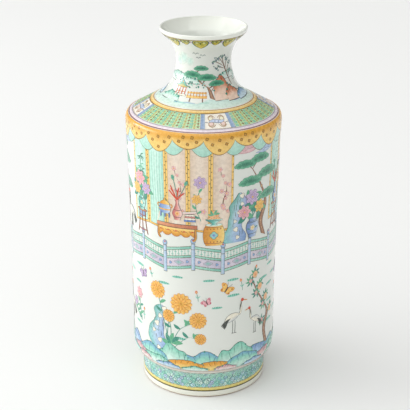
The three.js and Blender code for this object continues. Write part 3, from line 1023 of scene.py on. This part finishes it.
def censer(art):
    """A tripod censer with looped handles and a domed lid under a knob."""
    for across in (-5, 0, 5):
        art.stroke([(across, 7), (1.25 * across, 3), (1.1 * across, 0)], 2.2, jar_blue[2], 0, 0.3,
                   line=(ink, 0.3))
    for hand in (-1, 1):
        art.stroke([(hand * 6.5, 12), (hand * 12, 13), (hand * 9, 19), (hand * 7.4, 16)], 1.3, jar_gold[2],
                   0, 0.1, 12)
    pot(art.at(0, 5, 1), [(4, 0), (7.4, 3), (8, 7), (6.6, 10), (7.4, 11)], jar_blue,
        [(5, 1.6, jar_gold[1])])
    pot(art.at(0, 16, 2), [(6.6, 0), (6, 2.4), (3.4, 4.6), (1.2, 5.4), (1.6, 7), (0.5, 8)], jar_gold)


def coral_vase(art, fill):
    """A slim bottle with a branch of red coral and two long feathers."""
    mouth = np.array([0, 25])
    for turn, length in ((1.1, 24), (1.75, 28)):
        tip = polar(turn, length)
        art.stroke([mouth, mouth + tip / 2 + [1.5, 0], mouth + tip], 0.8, leaf_teal, 0, 0.1)
        art.blob(mouth + tip, disc(3.2, 16), [feather_blue, leaf_green, pine_light], 1, (leaf_teal, 0.4),
                 turn - lying, 0.6)
    for turn, length in ((2.3, 15), (2.0, 19), (1.4, 16), (0.8, 13)):
        tip = polar(turn, length)
        art.stroke([mouth, mouth + tip / 2 + [-1, 1], mouth + tip], 1.4, coral_red, 2, 0.2)
        art.stroke([mouth + tip / 2, mouth + tip * 0.6 + [3 * math.cos(turn + 1), 3]], 1.0, coral_red, 2,
                   0.2, 6)
    pot(art.at(0, 0, 3), [(3.6, 0), (4, 2), (6.4, 8), (4.2, 14), (2.0, 19), (2.0, 23), (3.0, 25)], fill,
        [(12.5, 0.6, ink), (3.4, 0.6, ink)])
    art.blob((0, 8), petals(6, 0.35, 2.8, spokes=30), [coral_red, jar_gold[0]], 4)


def fruit_dish(art):
    """A footed dish heaped with peaches and leaves."""
    for across, up in ((-5, 7), (5, 7), (0, 8), (-2.6, 12), (2.8, 12), (0, 15.6)):
        art.blob((across, up), petals(2, 0.08, 3.1, 1.2, 16), peach, 0.1 * up, (lacquer, 0.3))
    for turn in (0.2, 1.0, 2.2, 3.0):
        leaf(art.at(0, 13, 2), turn, 7, 2.4, leaf_green, leaf_vein)
    pot(art.at(0, 0, 2.4), [(4.4, 0), (2.4, 2), (5, 4), (9.6, 6.4), (10, 7.6)], jar_turquoise,
        [(6, 0.5, ink)])


def books(art):
    """A pile of cloth-bound books with a scroll on it."""
    for k, shade in enumerate((book_blue, paper, book_red, paper)):
        art.panel(0.5 * k - 7, 7 - 0.3 * k, 2.3 * k, 2.3 * k + 2.2, shade, 0.1 * k, (ink, 0.25))
    art.stroke([(-8.4, 10.4), (8, 12)], 3.0, [rose_shades[0], paper], 1, 0.05, line=(ink, 0.3))


def garden_rock(art, width, height, shades, holes=4):
    """A pierced garden rock: an upright form with wavering edges, hollows worn through, and folds."""
    t = np.linspace(0, 1, 30)
    phase = brush.uniform(0, 6, 4)
    waist = 1 - 0.35 * t + 0.16 * np.sin(9 * t + phase[0]) + 0.10 * np.sin(19 * t + phase[1])
    half = width / 2 * waist * np.sqrt(np.clip(1.04 - t ** 8, 0, 1))
    lean = 0.14 * width * np.sin(5 * t + phase[2])
    wave = 1 + 0.2 * np.sin(11 * t + phase[3])
    art.ribbon(pairs(lean + half, height * t), pairs(lean - half * wave, height * t), shades, 0, (ink, 0.5))
    for k in range(holes):
        at = (np.interp((k + 0.7) / holes, t, lean) + brush.uniform(-0.2, 0.2) * width,
              height * (k + 0.6) / holes)
        art.blob(at, petals(3, 0.3, brush.uniform(0.07, 0.12) * width + 0.8, k), paper, 1, (ink, 0.4))
    for k in range(2 * holes):
        at = np.array([brush.uniform(-0.34, 0.34) * width, height * brush.uniform(0.05, 0.85)])
        art.stroke([at, at + [brush.uniform(-2, 2), 4], at + [brush.uniform(-3, 3), 7.5]], 0.6, ink, 0.6)


def pine(art, path, width, pads):
    """A pine: a scaly trunk along a curve, and level pads of needles at the given places."""
    spine = limb(art, path, 26, (width / 2, 0.8), -0.5, [bark, bark_pale, bark], (lacquer_dark, 0.35))
    for knot in spine[3:24:3]:
        art.blob(knot, disc(0.22 * width), bark_knot, 0.6, (lacquer_dark, 0.3))
    for x, z, reach in pads:
        nearest = spine[np.argmin(np.linalg.norm(spine - [x, z], axis=1))]
        art.stroke([nearest, ((x + nearest[0]) / 2, z - 2), (x, z - 1)], 1.4, bark)
        for across, up, share in ((0, 0, 1), (-0.55, -0.12, 0.62), (0.55, -0.1, 0.62)):
            art.blob((x + across * reach, z + up * reach), petals(9, 0.14, reach * share, spokes=36),
                     [pine_dark, pine_green, pine_light], 1 + 0.4 * share, (pine_dark, 0.35), lying, 0.42)
        for turn in np.linspace(0.25, math.pi - 0.25, 9):
            tip = polar(turn, reach) * [0.9, 0.42]
            art.stroke([(x, z - 0.2 * reach), (x + tip[0], z - 0.1 * reach + tip[1])], 0.5, pine_dark, 2,
                       steps=5)


def crane(art, size, hand):
    """A standing crane: white body, dark tail plumes, a long bent neck, a red crown and thin legs."""
    def put(*points):
        return np.array(points) * [hand * size, size]

    for a in (-1, 1.4):
        art.stroke(put((a, 12), (a + 0.4, 6), (a - 0.2, 0)), 0.6, ink, 0, 0.05)
        art.stroke(put((a - 1.2, 0), (a + 1.8, 0)), 0.6, ink, 0, steps=4)
    art.stroke(put((-9, 10), (-5, 16), (1, 17), (6, 18)), 7.5 * size, [crane_grey, paper, paper], 1, 0.8,
               16, (ink, 0.35))
    for k in range(4):
        art.stroke(put((-3 - k, 15 - k), (-8, 13 - 1.5 * k), (-12 + k, 8 - k)), 1.7 * size, ink, 2, 0.7)
    art.stroke(put((5, 17), (10, 21), (5, 26), (8.5, 31)), 2.0 * size, paper, 2, 0.25, 16, (ink, 0.3))
    art.stroke(put((6.2, 22), (6.6, 26), (8.5, 31)), 1.0 * size, ink, 3, 0.4)
    art.blob(*put((8.8, 31.4)), disc(1.6 * size, 12), coral_red, 3)
    art.stroke(put((9.6, 31.2), (14.5, 30)), 0.8 * size, jar_gold[2], 3, 0.7, 5)


def cloud(art, size, shades):
    """A curled cloud: round lobes in a heap over a tail that trails off to one side."""
    edge = shades[1] * 0.6
    art.stroke(size * np.array([(-4.5, -1.2), (0, -1.6), (2.4, -0.6)]), size, shades[::-1], 0, 0.7, 14,
               (edge, 0.4))
    for across, up, reach in ((-1.6, -0.2, 1.0), (1.7, -0.2, 1.0), (0, 0.5, 1.3)):
        at = (across * size, up * size)
        art.blob(at, disc(reach * size, 20), shades, 1 + 0.5 * reach, (edge, 0.4))
        art.blob(at, disc(0.4 * reach * size, 12), shades[::-1], 2.6, (edge, 0.3))


things = Coat(body_radius)
tall_stand(things.at(-84, 213, 6), 31)
peony_jar(things.at(-84, 243, 6), 0.85, jar_turquoise, small_bunch, gold_shades, mauve_shades, rose_shades)
low_table(things.at(-58, 216, 6), 50)
censer(things.at(-47, 243, 8))
coral_vase(things.at(-31, 242, 8), jar_rose)
books(things.at(-16, 241, 8))
drum_stool(things.at(12, 211, 6))
fruit_dish(things.at(12, 237, 9))
peony_jar(things.at(62, 214, 7), 1.15, jar_blue, large_bunch, rose_shades, gold_shades, mauve_shades)
things.piece("terrace_things_front", "white_glaze")

trees = Coat(body_radius)
garden_rock(trees.at(40, 212, 4), 25, 62, rock_blue, 6)
pine(trees.at(0, 0, 4), [(82, 212), (76, 232), (84, 254), (74, 278), (60, 300)], 9,
     [(90, 264, 15), (58, 286, 15), (86, 292, 16), (50, 308, 13), (72, 312, 14)])
garden_rock(trees.at(128, 212, 4), 24, 52, rock_teal)
cloud(trees.at(56, 330, 1), 5, cloud_rose)
cloud(trees.at(82, 324, 1), 4, cloud_blue)
trees.piece("terrace_rocks_and_pine", "turquoise_enamel")

rear = Coat(body_radius)
tall_stand(rear.at(108, 213, 6), 33)
coral_vase(rear.at(108, 245, 8), jar_blue)
low_table(rear.at(146, 216, 6), 54)
fruit_dish(rear.at(158, 243, 9))
censer(rear.at(184, 243, 8))
peony_jar(rear.at(216, 213, 7), 1.15, jar_gold, large_bunch, mauve_shades, rose_shades, gold_shades)
drum_stool(rear.at(244, 211, 6))
fruit_dish(rear.at(244, 237, 9))
low_table(rear.at(body_girth - 240, 216, 6), 50)
coral_vase(rear.at(body_girth - 226, 242, 8), jar_turquoise)
books(rear.at(body_girth - 204, 241, 8))
pine(rear.at(0, 0, 4), [(-134, 212), (-140, 232), (-132, 252), (-142, 276), (-152, 300)], 9,
     [(-124, 266, 15), (-154, 288, 15), (-130, 296, 16), (-164, 308, 13), (-140, 314, 14)])
garden_rock(rear.at(-160, 212, 5), 24, 56, rock_blue, 5)
crane(rear.at(-114, 212, 7), 1.3, -1)
tall_stand(rear.at(268, 213, 6), 33)
peony_jar(rear.at(268, 245, 6), 0.85, jar_rose, small_bunch, mauve_shades, gold_shades, rose_shades)
pine(rear.at(0, 0, 4), [(306, 212), (300, 232), (308, 254), (298, 278), (286, 300)], 9,
     [(314, 264, 15), (284, 286, 15), (310, 292, 16), (274, 308, 13), (298, 312, 14)])
garden_rock(rear.at(290, 212, 6), 22, 46, rock_teal)
cloud(rear.at(244, 322, 1), 5, cloud_rose)
cloud(rear.at(-118, 326, 1), 5, cloud_blue)
rear.piece("terrace_things_rear", "white_glaze")

# ---- Balustrade ----
# A low balustrade zigzags right round the vase below the terrace: turquoise rails, lilac boards
# with a cloud in each, an open fret above them, and soft blue posts with buds on top.

bay_count = 16
bay = body_girth / bay_count
bay_rise = 6.0
bay_start = -0.35
fence_level = 179.0
rail_pale, rail_deep, board_pale, board_deep, post_pale = tints("b0dece 80c4b2 e2d8e2 c4bed4 c4d8ea")
post_blue = tint("8cacd4")
rail = [rail_deep, rail_pale]

fence = Coat(body_radius)
bays = [fence.at((k + bay_start) * bay, fence_level + (-bay_rise if k % 2 else bay_rise) / 2)
        for k in range(bay_count)]
for k, art in enumerate(bays):
    rise = bay_rise if k % 2 else -bay_rise
    for low, high, fill in ((0, 3.4, rail), (3.6, 14, [board_deep, board_pale]), (14.2, 17, rail),
                            (25, 28.4, rail)):
        art.panel(0, bay, low, high, fill, 2, (soft_ink, 0.35), rise)
    art.blob((bay / 2, rise / 2 + 8.8), petals(4, 0.3, 6.0, spokes=36), [rail_deep, board_deep], 3.4,
             (soft_ink, 0.4), lying, 0.55)
    for share in (0.2, 0.8):
        art.blob((share * bay, share * rise + 8.8), petals(3, 0.3, 2.2), post_blue, 3.4, (soft_ink, 0.3))
    for n in range(9):
        foot = (n + 0.5) / 9 * np.array([bay, rise]) + [0, 17]
        level = 2.5 + n % 2 * 3
        art.stroke([foot, foot + [0, 8]], 0.7, rail_deep, 2, 0.05, 4)
        art.stroke([foot + [-1.6, level], foot + [1.6, level]], 0.7, rail_deep, 2.4, 0.05, 4)
for art in bays:
    art.panel(-2.4, 2.4, -3, 31, [post_blue, post_pale, post_pale], 4.4, (soft_ink, 0.35))
    art.blob((0, 34.4), petals(2, 0.1, 3.4, 1.6, 18), [post_pale, post_blue], 5.4, (soft_ink, 0.35))
    art.blob((0, 35.6), disc(1.1), coral_red, 6.2)
    art.stroke([(-2.4, 24), (0, 23), (2.4, 24)], 0.6, soft_ink, 6, 0.05, 6)
fence.piece("balustrade", "turquoise_enamel")

# ---- Meadow ----
# The white ground below it is strewn with turquoise grass tufts and red buds on thin stems.
# Chrysanthemums, peonies, peach trees, cranes and butterflies are spread over it, front and back.

tuft_green, tuft_dark, bud_red = tints("8ed6c2 368e7a de5834")


def grass_tuft(art, size):
    """A tuft of grass: short level strokes of turquoise with dark blades that lean out of them."""
    art.stroke([(-8 * size, 0), (0, 1.2), (8 * size, 0.4)], 3.4 * size, tuft_green, 1, 0.6, 8)
    for across in (-5.4, -3.2, -1, 1, 3.2, 5.4):
        foot = np.array([across * size, -0.6])
        art.stroke([foot, foot + [-0.2, 1.6], foot + [0.25 * across, 3.4 - 0.2 * abs(across)]], 0.9 * size,
                   tuft_dark, 2, 0.7, 4)


def bud_stem(art, height, lean):
    """A thin stem with two leaves and a pointed red bud."""
    art.stroke([(0, 0), (0, height / 2), (lean, height)], 0.6, tuft_dark, 3, 0.1, 6)
    for turn in (0.8, 2.3):
        leaf(art.at(0.1 * lean, height * 0.35, 3.4), turn, 4.2, 1.2, tuft_green)
    art.blob((lean, height), [3.4, 2.2, 1.5, 1.1, 1.0, 1.1, 1.5, 2.2], [jar_gold[0], bud_red], 4,
             (bud_red, 0.2), lying - 0.05 * lean)


def chrysanthemum(art, size, shades):
    """A chrysanthemum: two rings of slender petals round a domed eye."""
    for count, share, lift in ((14, 1, 0), (10, 0.64, 1.4)):
        for k in range(count):
            reach = polar(2 * math.pi * k / count + 0.2 * lift, size * share)
            art.stroke([0.2 * reach, 0.7 * reach, reach], 0.46 * size * share, shades[[[1, 1], [0, 1]]],
                       lift + 0.5 * (k % 2), 0.45, 7, (shades[2], 0.5))
    art.blob((0, 0), petals(7, 0.2, 0.24 * size), [shades[2], stamen], 2, (shades[2], 0.25))


def butterfly(art, size, turn, shades):
    """A butterfly seen from above: spotted wings in two pairs, a dark body and feelers."""
    ahead = turn + math.pi / 2
    for hand in (-1, 1):
        for angle, reach, squash in ((0.55, 1.0, 0.62), (-0.55, 0.7, 0.75)):
            heading = ahead + hand * (math.pi / 2 - angle)
            wing = polar(heading, 0.6 * size * reach)
            art.blob(wing, petals(3, 0.14, 0.62 * size * reach, spokes=21), shades[:2], 0,
                     (shades[2], 0.35), heading - lying, squash)
            art.blob(wing + polar(heading, 0.2 * size), disc(0.13 * size), shades[2], 0.6)
        tip = ahead + 0.35 * hand
        art.stroke([(0, 0), polar(tip - 0.1 * hand, 0.8 * size), polar(tip, 1.1 * size)], 0.35, ink, 1,
                   steps=5)
    art.stroke([polar(ahead, -0.5 * size), polar(ahead, 0.45 * size)], 0.2 * size, ink, 1.4, steps=6)


def peach_tree(art, path):
    """An old peach tree: a knotted trunk, side boughs, long leaves in bunches and blushing fruit."""
    spine = limb(art, path, 30, (4.25, 0.6), -0.4, [lacquer_dark, bark_pale, bark], (lacquer_dark, 0.35))
    for k in range(8, 30, 3):
        tip = spine[k] + [(9 - 0.12 * k) * (1 if k % 2 else -1), 5.0]
        art.stroke([spine[k], (spine[k] + tip) / 2 - [0, 1.5], tip], 1.2, bark, 0, 0.2, 8)
        for turn in (0.1, 0.9, 1.7, 2.5, 3.4, 4.2, 5.4):
            leaf(art.at(*tip, 1), turn + 0.3 * k, 8, 2.5, leaf_green if turn < 2 else leaf_teal, leaf_vein)
        if k % 2:
            art.blob(tip - [0, 2.5], petals(2, 0.08, 4.6, 1.2, 18), peach, 2.4, (lacquer, 0.3))
        else:
            blossom(art.at(*tip, 2), 3.2, rose_shades)


def stems(coat, leaf_size, table, **leaves):
    """Flowers on leafy stems, from a table of the stem's points, the flower's place, and what draws it."""
    for path, at, flower, size, shades in table:
        leafy_stem(coat.at(0, 0, 3), path, leaf_size, **leaves)
        flower(coat.at(*at, 4.5), size, shades)


brush = np.random.default_rng(23)
meadow = Coat(body_radius)
kept_clear = [(-38, 122, 36), (-4, 88, 13), (66, 112, 34), (36, 108, 26), (-102, 122, 20),
              (28, 152, 13), (4, 136, 9), (170, 112, 36), (-180, 112, 36), (214, 112, 24),
              (-136, 108, 30), (282, 112, 36), (130, 150, 12), (-86, 158, 12)]
for row in range(7):
    for place in range(17):
        x = (place + 0.5 * (row % 2) - 8) * body_girth / 17 + brush.uniform(-7, 7)
        z = 88 + 13 * row + brush.uniform(-3, 3)
        if all(math.hypot(x - a, z - b) > gap for a, b, gap in kept_clear):
            if place % 4 == row % 4:
                bud_stem(meadow.at(x, z - 5), brush.uniform(9, 14), brush.uniform(-3, 3))
            else:
                grass_tuft(meadow.at(x, z), brush.uniform(0.85, 1.15))
meadow.piece("meadow_grass", "turquoise_enamel")

garden = Coat(body_radius)
garden_rock(garden.at(-60, 60, 1), 28, 66, rock_blue, 6)
stems(garden, 10, (
    ([(-48, 76), (-44, 108), (-30, 128)], (-28, 133), chrysanthemum, 14, gold_shades),
    ([(-44, 76), (-54, 116), (-60, 140)], (-61, 145), chrysanthemum, 11.5, gold_shades),
    ([(-40, 78), (-30, 98), (-14, 108)], (-7, 112), chrysanthemum, 11, gold_shades),
    ([(-42, 76), (-42, 98), (-46, 112)], (-45, 114), chrysanthemum, 8.5, gold_shades),
    ([(-38, 72), (-20, 88), (-6, 86)], (-4, 87), chrysanthemum, 7.5, gold_shades),
), every=4, bare=8)
for turn, shade in ((0.15, leaf_green), (0.75, leaf_teal), (1.4, leaf_green), (2.1, leaf_teal),
                    (2.9, leaf_green)):
    leaf(garden.at(-41, 77, 3.8), turn, 15, 6, shade, leaf_vein)
peach_tree(garden.at(0, 0, 3), [(97, 56), (90, 82), (97, 104), (84, 124), (72, 142), (64, 160)])
crane(garden.at(38, 92, 4), 1.35, 1)
crane(garden.at(71, 84, 4), 1.15, -1)
butterfly(garden.at(28, 152, 4), 9, -0.6, gold_shades)
butterfly(garden.at(4, 136, 4), 6.5, 0.5, rose_shades)
butterfly(garden.at(-86, 158, 4), 8, 0.3, mauve_shades)
peony(garden.at(-98, 128, 4.5), 8, rose_shades)
peony(garden.at(-110, 112, 4.5), 6.5, mauve_shades)
leafy_stem(garden.at(0, 0, 3), [(-92, 92), (-96, 108), (-98, 124)], 8)
leafy_stem(garden.at(0, 0, 3), [(-94, 92), (-102, 100), (-109, 108)], 8)
garden.piece("garden_flowers_and_cranes", "yellow_enamel")

rear_garden = Coat(body_radius)
for x, shades, other in ((170, rose_shades, gold_shades), (-180, gold_shades, mauve_shades)):
    garden_rock(rear_garden.at(x - 16, 60, 1), 28, 66, rock_teal, 6)
    stems(rear_garden, 11, (
        ([(x - 4, 72), (x + 4, 100), (x + 12, 122)], (x + 13, 126), peony, 12, shades),
        ([(x - 4, 72), (x - 6, 108), (x - 14, 136)], (x - 14, 140), peony, 10, shades),
        ([(x, 72), (x + 14, 88), (x + 26, 98)], (x + 28, 98), peony, 9, other),
    ), every=4)
peach_tree(rear_garden.at(0, 0, 3), [(226, 66), (220, 84), (227, 104), (214, 124), (204, 142), (196, 158)])
garden_rock(rear_garden.at(266, 60, 1), 28, 62, rock_blue, 6)
stems(rear_garden, 11, (
    ([(276, 76), (284, 104), (290, 126)], (291, 130), chrysanthemum, 13, gold_shades),
    ([(276, 76), (268, 112), (264, 138)], (263, 142), chrysanthemum, 11, mauve_shades),
    ([(278, 76), (292, 92), (304, 100)], (306, 102), chrysanthemum, 10, gold_shades),
), every=4)
crane(rear_garden.at(-126, 84, 4), 1.35, -1)
crane(rear_garden.at(-146, 92, 4), 1.15, 1)
butterfly(rear_garden.at(130, 150, 4), 9, 0.6, mauve_shades)
butterfly(rear_garden.at(-150, 152, 4), 8, -0.5, gold_shades)
rear_garden.piece("rear_garden_flowers", "yellow_enamel")

# ---- Bottom rocks ----
# Round the foot of the picture runs a range of garden rocks and banks in turquoise, gold, pale
# green and lilac. They are shaded from base to crest, outlined, and dotted with moss.

rock_kinds = [
    tints("c8ecde 96dac6 70aace"),
    tints("fcda84 f0b046 e29830"),
    tints("e0f4ea b2e2d0 7eccb6"),
    tints("f0dedc e2b6b2 c494a8"),
    tints("cce2f0 a0c2e2 7096c8"),
]
bank_count = 15
bank_base = 42.6


def bank(art, width, height, shades):
    """A rock or a bank: its crest runs through jittered points, with folds below it and moss on it."""
    share = np.array([0, 0.06, 0.2, 0.36, 0.52, 0.68, 0.84, 0.95, 1])
    jitter = brush.uniform(-0.1, 0.1, len(share))
    rise = np.array([0.05, 0.56, 0.74, 0.96, 1.0, 0.84, 0.76, 0.5, 0.05]) * (1 + jitter)
    if brush.random() < 0.5:
        share, rise = 1 - share[::-1], rise[::-1]
    crest = through(pairs(width * share, height * rise), 34)
    crest[:, 1] = np.maximum(crest[:, 1], 0.6)
    art.ribbon(crest * [1, 0], crest, [shades[0], shades[0], shades[1], shades[2]], 0, (ink, 0.55), 7)
    for top in crest[4:31:4]:
        fall = top[1] * brush.uniform(0.3, 0.6)
        way = brush.uniform(-2.5, 2.5)
        art.stroke([top, top + [way, -fall / 2], top + [2 * way, -fall]], 0.8, shades[2] * 0.55, 0.7, 0.7,
                   7)
    for top in crest[3:32:5]:
        art.blob(top - [0, 0.6], disc(brush.uniform(0.8, 1.3)), tuft_dark, 1)


rocks = Coat(body_radius)
bank_rows = [((48, 64), (22, 38), (0, 2, 4, 0, 2)), ((44, 60), (14, 22), (1, 0, 3, 2, 1)),
             ((26, 40), (6, 11), (3, 4, 2, 0))]
for row, (reach, rise, kinds) in enumerate(bank_rows):
    for k in range(bank_count):
        width = brush.uniform(*reach)
        x = (k + 0.4 * row) * body_girth / bank_count - width / 2 + brush.uniform(-5, 5)
        bank(rocks.at(x, bank_base, 4.0 + 2.6 * row + 1.3 * (k % 2)), width, brush.uniform(*rise),
             rock_kinds[kinds[k % len(kinds)]])
rocks.piece("bottom_rocks", "turquoise_enamel")

# ---- Neck landscape ----
# Round the neck runs a small landscape: banks, iron-red rocks, a leaning pine, a pavilion and a
# plank bridge by the water, far hills and birds in flight. It is painted thinly, front and back.

neck_wash = tints("def0e4 ceeae2")
iron_shades = tints("f4d6c2 de9c7c c67454")
hill_far = tints("e8f2ec ceeae0 b0dcce")
mist = tints("c8e6da d8ece2 e4ece2")
roof = [tint("f0be5a"), leaf_green, tint("78bec8")]
bird_grey = tint("6e7c78")
twig_shades = tints("5c7c7a 809898 709686 787e94")
brush = np.random.default_rng(5)


def pavilion(art):
    """A small pavilion: a stone step, four posts, a rail, and a tiled roof with turned-up eaves."""
    art.panel(-7, 7, 0, 1.6, paper, 0, (soft_ink, 0.25))
    for across in (-5.2, -1.8, 1.8, 5.2):
        art.stroke([(across, 1.4), (across, 9)], 0.8, coral_red, 1, 0.05, 4)
    art.stroke([(-5.2, 4), (5.2, 4)], 0.6, jar_gold[2], 1.4, 0.05, 6)
    lower = bow([(-9.4, 10), (-4, 7.6), (4, 7.6), (9.4, 10)])
    upper = through([(-9.4, 10.4), (-5, 11.4), (0, 17), (5, 11.4), (9.4, 10.4)], 16)
    art.ribbon(lower, upper, roof, 2, (soft_ink, 0.4), 6)
    art.blob((0, 14.4), disc(1.0, 10), jar_gold[1], 3, (soft_ink, 0.25))


def plank_bridge(art, width):
    """A low bridge of golden planks with a railing, seen from the side."""
    for bottom, height in ((0, 2.0), (4.6, 1.1)):
        art.panel(0, width, bottom, bottom + height, [jar_gold[1], jar_gold[0]], 0, (jar_gold[2], 0.25))
    for x in np.linspace(0.8, width - 0.8, 7):
        art.stroke([(x, 1), (x, 6.4)], 0.7, jar_gold[2], 1, 0.05, 4)
    for x in (4, width - 4):
        art.stroke([(x, -3.6), (x, 0)], 1.0, bark, -0.5, 0.05, 4)


def landscape(art):
    """One view of the landscape, centred on a place across the neck."""
    for x, z, layer, width, height, shades in (
        (-50, 392, 1, 34, 11, hill_far), (-30, 390, 1, 26, 8, hill_far), (20, 394, 1, 28, 10, hill_far),
        (40, 390, 1, 30, 8, hill_far), (10, 373, 2, 20, 27, iron_shades),
        (22, 371.6, 3.4, 18, 16, iron_shades),
        (34, 370.4, 4.8, 22, 9, rock_kinds[4]), (-44, 371, 2, 22, 9, rock_kinds[2]),
    ):
        bank(art.at(x, z, layer), width, height, shades)
    pine(art.at(0, 0, 4), [(8, 375), (5, 386), (-4, 393), (-8, 404)], 4.4,
         [(-14, 401, 10), (4, 398, 10), (-3, 408.5, 8), (15, 391, 8.4)])
    pavilion(art.at(-24, 377, 3))
    plank_bridge(art.at(-16, 376, 3), 19)
    art.stroke([(35, 386), (32, 400), (26, 410), (24, 419)], 1.5, bark, 3.6, steps=14)
    for across, up, foot, foot_up in ((13, 416, 26, 409), (17, 409, 27, 406), (24, 421, 25, 414),
                                      (31, 416, 29, 405),
                                      (37, 411, 31, 401), (37, 402, 33, 396), (19, 420, 25, 412)):
        art.stroke([(foot, foot_up), ((across + foot) / 2, (up + foot_up) / 2 + 1), (across, up)], 0.8,
                   bark, 3.8, steps=8)
        for k in range(11):
            at = (across + brush.normal(0, 1.9), up + brush.normal(0, 1.5))
            art.blob(at, petals(2, 0.3, brush.uniform(0.7, 1.2), brush.uniform(0, 3)), twig_shades[k % 4],
                     4.4)
    for across, up, reach in ((-33, 415, 6.5), (-25, 419, 8), (-17, 416, 6)):
        art.blob((across, up), petals(7, 0.12, reach), mist, 1.2)
    for across, up, size in ((-6, 420, 1.7), (-1, 423, 1.9), (-9, 425, 2.1)):
        for hand in (-1, 1):
            wing = [(across, up), (across + hand * size, up + 1.8 * size),
                    (across + 1.7 * hand * size, up + 0.3 * size)]
            art.stroke(wing, 0.8, bird_grey, 1.4, steps=6)
    for k in range(26):
        at = (brush.uniform(-17, 2), brush.uniform(386, 392.5))
        art.blob(at, disc(brush.uniform(0.5, 0.9), 6), tuft_dark if k % 3 else tuft_green, 3.9)
    for k in range(9):
        at = np.array([brush.uniform(-40, 34), brush.uniform(369.4, 372.6)])
        art.stroke([at, at + [5, 0.5], at + [10, 0]], 0.55, tuft_green if k % 2 else post_blue, 2.4,
                   steps=6)


neck_scene = Coat(34)
angles = np.linspace(0, 2 * math.pi, 240, endpoint=False)
neck_scene.band(367.2, 373 + 1.6 * np.sin(5 * angles) + 0.8 * np.sin(13 * angles), neck_wash)
for x in (0, math.pi * neck_scene.radius):
    landscape(neck_scene.at(x, 0))
neck_scene.piece("neck_landscape", "turquoise_enamel")
